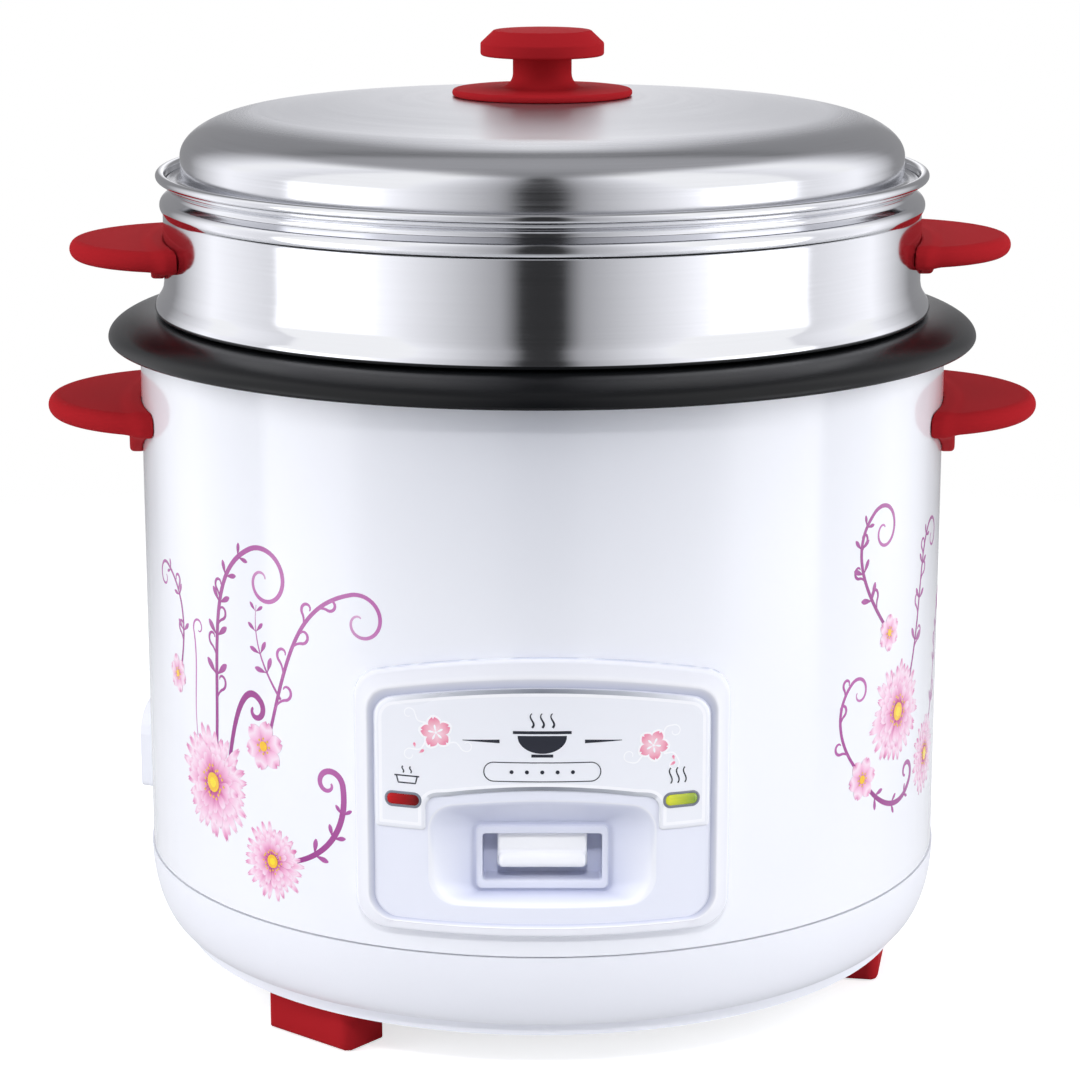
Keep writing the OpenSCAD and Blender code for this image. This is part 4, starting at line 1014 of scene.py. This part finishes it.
class Print:
    """Thin printed shapes on the cylinder of radius r. A point is (distance round from the front, height)."""

    def __init__(self, r, base=-0.06):
        self.r, self.base = r, base
        self.verts, self.faces, self.tone = [], [], []

    def sheet(self, grid, tone, lift):
        grid = np.asarray(grid, float)
        m, n = grid.shape[:2]
        start = sum(len(v) for v in self.verts)
        for level in (lift, self.base):
            a = grid.reshape(-1, 2)[:, 0] / self.r
            r = self.r + level
            self.verts.append(np.stack([r * np.sin(a), -r * np.cos(a), grid.reshape(-1, 2)[:, 1]], 1))
            self.tone.append(np.broadcast_to(tone, (m, n)).reshape(-1))

        def at(i, j, low=0):
            return start + low * m * n + i * n + j

        for i in range(m - 1):
            for j in range(n - 1):
                self.faces.append((at(i, j), at(i + 1, j), at(i + 1, j + 1), at(i, j + 1)))
                self.faces.append((at(i, j, 1), at(i, j + 1, 1), at(i + 1, j + 1, 1), at(i + 1, j, 1)))
        loop = ([(i, 0) for i in range(m - 1)] + [(m - 1, j) for j in range(n - 1)]
                + [(i, n - 1) for i in range(m - 1, 0, -1)] + [(0, j) for j in range(n - 1, 0, -1)])
        for p, q in zip(loop, loop[1:] + loop[:1]):
            self.faces.append((at(*p), at(*q), at(*q, 1), at(*p, 1)))

    def ribbon(self, path, width, tone, lift=0.03):
        """width and tone are functions of the way along, from 0 to 1."""
        path = np.asarray(path, float)
        far = max(1, math.ceil(np.linalg.norm(np.diff(path, axis=0), axis=1).max() / 1.2))
        path = np.concatenate([p + (q - p) * np.arange(far)[:, None] / far for p, q in zip(path, path[1:])]
                              + [path[-1:]])
        side = left_of(np.gradient(path, axis=0))
        t = np.linspace(0, 1, len(path))
        half = np.array([max(width(v), 0.06) / 2 for v in t])[:, None]
        grid = np.stack([path + side * half, path - side * half], 1)
        self.sheet(grid, np.array([tone(v) for v in t])[:, None], lift)

    def petal(self, centre, turn, start, length, width, lift, tone0, tone1, blunt=0.6, notch=0.0, vein=0.0):
        """A petal of nine by five points that starts a little off the centre."""
        v = np.linspace(0, 1, 9)
        bow = np.sin(math.pi * np.clip(v * 0.92 + 0.06, 0, 1) ** (1 / blunt) * 0.98)
        profile = np.maximum(bow, 0.05) ** 0.8
        u = np.linspace(-1, 1, 5)
        along = start + length * (v[:, None] * (1 - notch * (1 - np.abs(u[None, :])) * v[:, None] ** 4))
        out = width / 2 * profile[:, None] * u[None, :]
        c, s = math.cos(turn), math.sin(turn)
        grid = np.stack([centre[0] + along * c - out * s, centre[1] + along * s + out * c], -1)
        self.sheet(grid, tone0 + (tone1 - tone0) * v[:, None] + vein * (1 - np.abs(u[None, :])), lift)

    def dot(self, centre, r, tone, lift, n=10):
        t = np.linspace(0, math.pi, n // 2 + 1)
        left, right = circle(centre, r, t), circle(centre, r, -t)
        left[[0, -1], 1] += 0.02 * r
        right[[0, -1], 1] -= 0.02 * r
        self.sheet(np.stack([left, right], 1), tone, lift)

    def made(self, name, slot, mat):
        mesh_object(name, np.vstack(self.verts), self.faces, "base", mat, angle=30,
                    tone=np.concatenate(self.tone))


def bezier(a, b, c, d, n=36):
    t = np.linspace(0, 1, n)[:, None]
    a, b, c, d = (np.array(v, float) for v in (a, b, c, d))
    return a * (1 - t) ** 3 + 3 * b * t * (1 - t) ** 2 + 3 * c * t * t * (1 - t) + d * t ** 3


def spiral(path, turns, radius, side=1, n=60):
    """The path carried on into a curl that tightens to its middle. side is 1 for a left turn."""
    path = np.asarray(path, float)
    d = path[-1] - path[-2]
    heading = math.atan2(d[1], d[0])
    out, point = [path], path[-1]
    step = turns * TAU / n
    for k in range(n):
        heading += side * step
        r = radius * (1 - k / (n - 1)) ** 1.1 + 0.9
        point = point + r * step * np.array([math.cos(heading), math.sin(heading)])
        out.append(point[None])
    return np.vstack(out)


def tapered(w0, w1, bulge=0.0):
    return lambda t: w0 + (w1 - w0) * t + bulge * math.sin(math.pi * t)


def faded(a, b):
    return lambda t: a + (b - a) * t


def daisy(petals, hearts, centre, r, seed, count=30):
    """Two rings of slim petals round a yellow heart with a ring of stamens."""
    rng = np.random.default_rng(seed)
    rings = ((1.0, count, 0.05), (0.8, count - 4, 0.11), (0.58, count - 9, 0.17))
    for ring, (reach, n, lift) in enumerate(rings):
        for k in range(n):
            turn = TAU * (k + 0.5 * ring) / n + rng.uniform(-0.06, 0.06)
            length = r * reach * rng.uniform(0.84, 1.06) - 0.16 * r
            petals.petal(centre, turn, 0.16 * r, length, r * rng.uniform(0.15, 0.19), lift + 0.012 * (k % 3),
                         0.02 + 0.05 * ring, rng.uniform(0.84, 1.0) - 0.1 * ring, 0.62, 0.06,
                         rng.uniform(-0.16, 0.1))
    hearts.dot(centre, 0.17 * r, 0.25, 0.24, 24)
    hearts.dot(centre, 0.09 * r, 0.0, 0.26, 18)
    for k in range(20):
        turn = TAU * k / 20 + rng.uniform(-0.08, 0.08)
        away = r * rng.uniform(0.22, 0.32)
        hearts.dot(polar(centre, away, turn), 0.026 * r, 0.45, 0.24, 8)


def blossom(petals, hearts, centre, r, count, turn0, seed):
    """A small open flower with broad petals."""
    rng = np.random.default_rng(seed)
    for k in range(count):
        petals.petal(centre, turn0 + TAU * k / count, 0.12 * r, 0.88 * r * rng.uniform(0.94, 1.04), r * 0.72,
                     0.12 + 0.012 * (k % 3), 0.2, 0.86, 0.72, 0.12, 0.1)
    hearts.dot(centre, 0.2 * r, 0.25, 0.2, 20)
    for k in range(8):
        hearts.dot(polar(centre, 0.3 * r, TAU * k / 8), 0.05 * r, 0.5, 0.2, 8)


def along(path, count, start, end):
    """count places spread along a path: the point and the step to the next one."""
    for k in range(count):
        f = start + (end - start) * k / max(1, count - 1)
        i = min(int(f * (len(path) - 1)), len(path) - 2)
        yield k, path[i], path[i + 1] - path[i]


def leaves(scroll, path, count, size, tone, start, end):
    """Pairs of slim leaves along a stem, smaller towards its tip."""
    for k, point, d in along(path, count, start, end):
        heading = math.atan2(d[1], d[0])
        long = size * (1 - 0.45 * k / count)
        for side in (-1, 1):
            scroll.petal(point, heading + side * 0.85, 0.3, long, long * 0.34, 0.04, tone, tone + 0.25)


def commas(scroll, path, count, size, tone, start, end, flip=1):
    """Small curls that leave a stem on one side, then the other."""
    for k, p, d in along(path, count, start, end):
        d = d / np.linalg.norm(d)
        out = np.array([-d[1], d[0]]) * (flip if k % 2 else -flip)
        long = size * (1 - 0.4 * k / count)
        stalk = bezier(p, p + d * long * 0.5, p + d * long * 0.8 + out * long * 0.3,
                       p + d * long * 0.9 + out * long * 0.55, 14)
        curl = spiral(stalk, 0.7, long * 0.3, -flip if k % 2 else flip, 22)
        scroll.ribbon(curl, tapered(0.35, 0.4, 0.6), faded(tone, tone + 0.12), 0.035)


petal_print = printed("petal_print", (243, 190, 219), 0.22, 0.03, coat=0.6,
                      shades=[(0, (182, 52, 126)), (0.22, (216, 104, 166)), (0.5, (244, 184, 216)),
                              (0.72, (251, 226, 240)), (0.88, (236, 162, 202)), (1, (216, 112, 168))])
heart_print = printed("heart_print", (250, 214, 20), 0.25, 0.04, coat=0.6,
                      shades=[(0, (253, 226, 0)), (0.3, (246, 188, 20)), (0.5, (238, 196, 60)),
                              (1, (190, 110, 40))])
scroll_print = printed("scroll_print", (168, 66, 150), 0.22, 0.04, coat=0.6,
                       shades=[(0, (148, 28, 130)), (0.5, (190, 98, 172)), (1, (230, 194, 222))])
mark_print = printed("mark_print", (30, 32, 44), 0.4, 0.05)

# Each row holds what the functions above take: a daisy or a blossom from its centre on, and a stem as the four
# points of its curve and their count, then its curl, widths, shades, leaves and small curls, or None.
BOUQUETS = {
    "left": {
        "daisies": [((-117, 82), 18.5, 3), ((-89, 63), 12.5, 5, 26)],
        "blossoms": [((-92, 99), 8.0, 6, 0.3, 7), ((-139, 112), 6.0, 6, 0.8, 8)],
        "stems": [
            ((-115, 90), (-112, 125), (-118, 150), (-96, 160), 40, (1.35, 9.5, -1), (1.5, 0.5, 0.5), (0.0, 0.75),
             (5, 6.5, 0.05, 0.3, 0.9), (4, 6.0, 0.1, 0.2, 0.6)),
            ((-90, 101), (-82, 128), (-78, 146), (-58, 151), 40, (1.2, 7.5, -1), (1.2, 0.45, 0.4), (0.1, 0.85),
             None, (5, 6.0, 0.35, 0.15, 0.75)),
            ((-84.5, 115), (-92, 124), (-96, 132), (-94, 143), 30, None, (0.9, 0.2), (0.2, 0.6),
             (4, 5, 0.15, 0.3, 0.95), None),
            ((-83, 64), (-66, 68), (-60, 80), (-62, 92), 34, (1.1, 4.0, 1, 40), (1.5, 0.6, 0.9), (0.0, 0.55),
             (3, 5, 0.1, 0.25, 0.75), None),
            ((-108, 91), (-104, 112), (-98, 118), (-93, 113), 30, (0.8, 3.0, -1, 30), (1.6, 0.8, 0.9), (0.0, 0.2),
             None, None),
            ((-137, 113), (-130, 132), (-136, 142), (-146, 146), 30, (1.0, 4.0, 1, 36), (1.0, 0.4, 0.3),
             (0.05, 0.5), (3, 4.5, 0.1, 0.3, 0.9), (2, 4.5, 0.2, 0.2, 0.6, -1)),
        ],
        "tendrils": [((-126, 95), (-128, 108), (-124, 118), (-127, 129), 34, (0.9, 2.4, -1, 30), (0.5, 0.3, 0.4),
                      (0.7, 0.35), None, None)],
    },
    "right": {
        "daisies": [((133, 101), 17.0, 11), ((160, 80), 13.0, 12, 26)],
        "blossoms": [((112, 84), 7.0, 6, 0.1, 13), ((126, 128), 6.0, 6, 0.5, 14)],
        "stems": [
            ((125, 129), (108, 146), (104, 160), (116, 168), 40, (1.3, 7.5, -1), (1.3, 0.5, 0.4), (0.0, 0.6),
             (4, 5.5, 0.05, 0.25, 0.85), (3, 5.0, 0.1, 0.15, 0.6)),
            ((141, 108), (152, 130), (148, 148), (158, 156), 36, (1.1, 5.5, -1), (1.2, 0.4, 0.3), (0.05, 0.5),
             (4, 5.5, 0.1, 0.2, 0.9), (4, 5.5, 0.25, 0.15, 0.7)),
            ((113, 83), (124, 70), (138, 68), (144, 76), 34, (0.9, 3.6, 1, 36), (1.4, 0.7, 0.8), (0.0, 0.3),
             (3, 4.5, 0.1, 0.2, 0.8), None),
            ((111, 86), (98, 98), (98, 110), (106, 116), 34, (1.0, 4.2, -1, 36), (1.1, 0.4, 0.4), (0.1, 0.7),
             None, (3, 4.5, 0.3, 0.2, 0.8, -1)),
            ((163, 84), (176, 104), (172, 120), (182, 128), 34, (1.0, 4.5, -1, 36), (1.1, 0.4, 0.3), (0.1, 0.6),
             (4, 5, 0.15, 0.2, 0.9), (3, 4.5, 0.3, 0.2, 0.8)),
        ],
        "tendrils": [],
    },
}


def draw_stem(scroll, row, lift=0.03):
    """Draw a stem with its curl and leaves, and return its path for the small curls."""
    *points, count, curl, widths, shades, leafing, _ = row
    path = bezier(*points, count)
    scroll.ribbon(spiral(path, *curl) if curl else path, tapered(*widths), faded(*shades), lift)
    if leafing:
        leaves(scroll, path, *leafing)
    return path


for side, plan in BOUQUETS.items():
    petals, hearts, scroll = Print(R_BODY), Print(R_BODY), Print(R_BODY)
    for flower in plan["daisies"]:
        daisy(petals, hearts, *flower)
    for flower in plan["blossoms"]:
        blossom(petals, hearts, *flower)
    paths = [draw_stem(scroll, row) for row in plan["stems"]]
    for path, row in zip(paths, plan["stems"]):
        if row[-1]:
            commas(scroll, path, *row[-1])
    for row in plan["tendrils"]:
        draw_stem(scroll, row, 0.025)
    petals.made(f"print_{side}_petals", "white_paint", petal_print)
    hearts.made(f"print_{side}_hearts", "white_paint", heart_print)
    scroll.made(f"print_{side}_scrolls", "white_paint", scroll_print)

white_print = printed("white_print", (253, 253, 255), 0.3, 0.004)
blossom_print = printed("blossom_print", (244, 160, 180), 0.3, 0.03,
                        shades=[(0, (226, 96, 132)), (0.3, (238, 140, 168)), (0.7, (252, 222, 230)),
                                (1, (254, 240, 244))])


def label_marks():
    """Plain signs for cook and warm, a steaming bowl in a name's place, and an empty pill with five dots."""
    marks = Print(R_LABEL, -0.05)
    line = tapered(0.42, 0.42)

    def mark(path, width, lift=0.04):
        marks.ribbon(path, width, faded(0, 0), lift)

    def steam(x, heights, sway, count, width):
        low, bend, turn, top = heights
        mark(bezier((x, low), (x + sway, bend), (x - sway, turn), (x, top), count), width)

    cook_x, warm_x = -40.6, 40.6
    mark([(cook_x - 3.2, 98.2), (cook_x - 2.7, 96.2), (cook_x + 2.7, 96.2), (cook_x + 3.2, 98.2)], line)
    mark([(cook_x - 3.9, 98.4), (cook_x + 3.9, 98.4)], line, 0.045)
    for dx in (-1.2, 1.2):
        steam(cook_x + dx, (99.3, 100, 100.6, 101.3), 0.9, 12, line)
    for dx in (-2.2, 0, 2.2):
        steam(warm_x + dx, (96.2, 97.9, 99.4, 101.0), 1.5, 16, line)
    t = np.linspace(math.pi, TAU, 30)
    bowl = np.stack([7.2 * np.cos(t), 112.2 + 5.2 * np.sin(t)], 1)
    rim = np.stack([7.2 * np.cos(t), np.full(30, 112.4)], 1)
    marks.sheet(np.stack([rim, bowl - (0, 0.02)], 1), 0, 0.04)
    mark([(-8.6, 113.4), (8.6, 113.4)], tapered(0.9, 0.9))
    mark([(-3.2, 106.3), (3.2, 106.3)], tapered(0.9, 0.9), 0.045)
    for dx in (-3, 0, 3):
        steam(dx, (114.9, 116.4, 117.8, 119.2), 1.7, 16, tapered(0.7, 0.3))
    for side in (-1, 1):
        mark([(side * 12.5, 110.6), (side * 23.5, 110.6)], tapered(1.1, 0.2))
    pill = slot_outline(17.2, 2.9, 2.88, 10) + (0, 101.3)
    mark(np.vstack([pill, pill[:1]]), tapered(0.3, 0.3))
    for dx in (-9, -4.5, 0, 4.5, 9):
        marks.dot((dx, 101.3), 0.6, 0, 0.04, 12)
    marks.made("label_marks", "label_film", mark_print)


def label_blossoms():
    """Two small blossoms with white sprigs and fallen petals."""
    glow, pink, trim = (Print(R_LABEL, -0.05) for _ in range(3))
    for x0, z0, turn0, size in ((-31.5, 112.4, 0.5, 4.7), (33.0, 108.4, 1.1, 4.5)):
        for k in range(5):
            a = turn0 + TAU * k / 5
            glow.petal((x0, z0), a, 0.1, size * 1.12, size * 0.98, 0.03 + 0.004 * (k % 3), 0, 0, 0.75)
            pink.petal((x0, z0), a, 0.3, size * 0.94, size * 0.78, 0.06 + 0.006 * (k % 3), 0.7, 0.28, 0.75,
                       0.15)
            glow.petal((x0, z0), a, 0.3, size * 0.45, size * 0.14, 0.09 + 0.004 * (k % 3), 0, 0, 0.6)
        side = 1 if x0 > 0 else -1
        for dx, dz, reach, turn in ((4.5, -4.0, 5.5, -0.5), (-5.0, -4.4, 4.5, 3.5), (4.2, 4.0, 4.6, 0.7)):
            start = np.array((x0 + side * dx * 0.7, z0 + dz * 0.7))
            a = turn if side > 0 else math.pi - turn
            tip = start + reach * np.array((math.cos(a), math.sin(a)))
            mid = (start + tip) / 2 + reach * 0.35 * np.array((-math.sin(a), math.cos(a)))
            sprig = spiral(bezier(start, mid, mid, tip, 20), 0.8, 1.0, -side, 20)
            trim.ribbon(sprig, tapered(0.5, 0.25), faded(0, 0), 0.025)
        pink.petal((x0 + side * 5.2, z0 - 6.6), 0.6, 0, 1.8, 0.9, 0.06, 0.5, 0.2)
        pink.petal((x0 + side * 6.4, z0 - 5.0), 1.8, 0, 1.5, 0.8, 0.06, 0.5, 0.2)
    glow.made("label_blossom_glow", "label_film", white_print)
    trim.made("label_blossom_sprigs", "label_film", white_print)
    pink.made("label_blossom_petals", "label_film", blossom_print)


label_marks()
label_blossoms()

# ---- Studio ----

FLOOR_GLOW = 0.66
FLOOR_Z = -0.0003
FLOOR_R = 0.8
FLOOR_SIDES = 96
FADE_FROM, FADE_TO = 0.3, 0.75


def floor_material():
    """A pale floor under the object that fades out to the white room round it, and keeps the shadow."""
    mat = bpy.data.materials.new("floor")
    tree = blank_tree(mat)
    pale = wired(tree, "BsdfDiffuse", {"Color": (0.75, 0.75, 0.75, 1)})
    lit = wired(tree, "AddShader", {0: pale, 1: wired(tree, "Emission", {"Strength": FLOOR_GLOW})})
    top = wired(tree, "MixShader", {0: wired(tree, "LightPath", {}, "Is Camera Ray"), 1: pale, 2: lit})
    away = wired(tree, "VectorMath", {0: wired(tree, "TexCoord", {}, "Object")}, "Value", operation="LENGTH")
    hidden = calc(tree, "MAXIMUM", remap(tree, away, 0.0, 1.0, FADE_FROM, FADE_TO),
                  wired(tree, "NewGeometry", {}, "Backfacing"))
    edge = wired(tree, "MixShader", {0: hidden, 1: top, 2: wired(tree, "BsdfTransparent", {})})
    wired(tree, "OutputMaterial", {"Surface": edge})
    return mat


floor_mesh = bpy.data.meshes.new("floor")
floor_mesh.from_pydata([(*polar((0, 0), FLOOR_R, TAU * i / FLOOR_SIDES), FLOOR_Z) for i in range(FLOOR_SIDES)],
                       [], [tuple(range(FLOOR_SIDES))])
floor_mesh.materials.append(floor_material())
floor = add_object("floor", floor_mesh)


def lamp(name, kind, place, target, power):
    """A lamp that reflections don't show."""
    data = bpy.data.lights.new(name, kind)
    data.energy = power
    obj = add_object(name, data)
    obj.location = place
    obj.rotation_euler = (Vector(target) - Vector(place)).to_track_quat("-Z", "Y").to_euler()
    obj.visible_glossy = False
    return data


MID = (0, 0, 0.15)
KEY_SIZE, KEY_POWER = (0.9, 1.5), 18.8
for name, place, target, size, power in (
        ("key_left", (-1.52, -0.42, 0.6), MID, KEY_SIZE, KEY_POWER),
        ("key_right", (1.52, -0.42, 0.6), MID, KEY_SIZE, KEY_POWER),
        ("top_soft", (0, 0.1, 1.7), (0, 0, 0.2), (1.6, 1.6), 9),
        ("back_soft", (0, 1.9, 0.7), MID, (2.2, 1.2), 14),
        ("below_soft", (0, 0, -1.2), (0, 0, 0), (1.2, 1.2), 4)):
    box = lamp(name, "AREA", place, target, power)
    box.shape = "RECTANGLE"
    box.size, box.size_y = size
spot = lamp("panel_spot", "SPOT", (0, -1.0, 0.9), (0, -0.13, 0.082), 36)
spot.spot_size = math.radians(8.5)
spot.spot_blend = 1.0
spot.shadow_soft_size = 0.08

# What reflections show: the room's level by angle from the camera's side, the same to the left and right, with
# a dark gap at the camera, a bright soft box on each side and a pale wall behind. Above eye level it is no
# brighter than UPPER_ROOM. Overhead is a dim ceiling with a bright far end, by depth from -1, front, to 1, back.
SKY_PEAK = 2.5
SKY_TINT = (1, 1, 1.03)
UPPER_ROOM = 1.3
SOFT_FILL = ((0.82, 0.87, 1.0, 1), 0.325)
ROOM = [(0, 0.04), (6, 0.04), (12, 0.5), (40, 1.2), (50, 1.5), (56, 2.4), (82, 2.4), (86, 1.0), (115, 1.4),
        (145, 0.32), (168, 0.32), (180, 1.4)]
OVERHEAD = [(-0.6, 0.15), (0.2, 0.45), (0.5, 0.45), (0.6, 0.2), (0.7, 0.25), (0.85, 1.5)]


def world():
    """White to the camera and through glass. Reflections show the room, and all other light is a soft fill."""
    sky = bpy.data.worlds.new("studio")
    bpy.context.scene.world = sky
    tree = blank_tree(sky)

    def greys(value, stops):
        return ramp(tree, value, [(at, tuple(c * v / SKY_PEAK for c in SKY_TINT)) for at, v in stops])

    x, y, z = split_xyz(tree, wired(tree, "TexCoord", {}, "Generated"))
    turn = calc(tree, "ARCTAN2", x, calc(tree, "MULTIPLY", y, -1))
    away = remap(tree, calc(tree, "ABSOLUTE", turn), 0, 1, 0, math.pi)
    capped = wired(tree, "Mix", {"Factor": 1.0, "A": greys(away, [(deg / 180, v) for deg, v in ROOM]),
                                 "B": remap(tree, z, 1.0, UPPER_ROOM / SKY_PEAK, 0.0, 0.2)},
                   "Result", data_type="RGBA", blend_type="DARKEN")
    height = wired(tree, "MapRange", {"Value": z, "From Min": remap(tree, y, 0.9, 0.6, 0, 0.6),
                                      "From Max": remap(tree, y, 1.0, 0.75, 0, 0.6)},
                   "Result", interpolation_type="SMOOTHSTEP")
    overhead = greys(remap(tree, y, 0, 1, -1, 1), [(0.5 + depth / 2, v) for depth, v in OVERHEAD])
    room = wired(tree, "Mix", {"Factor": height, "A": capped, "B": overhead}, "Result", data_type="RGBA")
    gloss = wired(tree, "Background", {"Color": room, "Strength": SKY_PEAK})
    soft = wired(tree, "Background", {"Color": SOFT_FILL[0], "Strength": SOFT_FILL[1]})
    white = wired(tree, "Background", {"Color": (1, 1, 1, 1), "Strength": 1.0})
    ray = wired(tree, "LightPath", {}).node.outputs
    unseen = wired(tree, "MixShader", {0: ray["Is Glossy Ray"], 1: soft, 2: gloss})
    direct = calc(tree, "MAXIMUM", ray["Is Camera Ray"], ray["Is Transmission Ray"])
    wired(tree, "OutputWorld", {"Surface": wired(tree, "MixShader", {0: direct, 1: unseen, 2: white})})


world()
bpy.context.scene.view_settings.view_transform = "Standard"
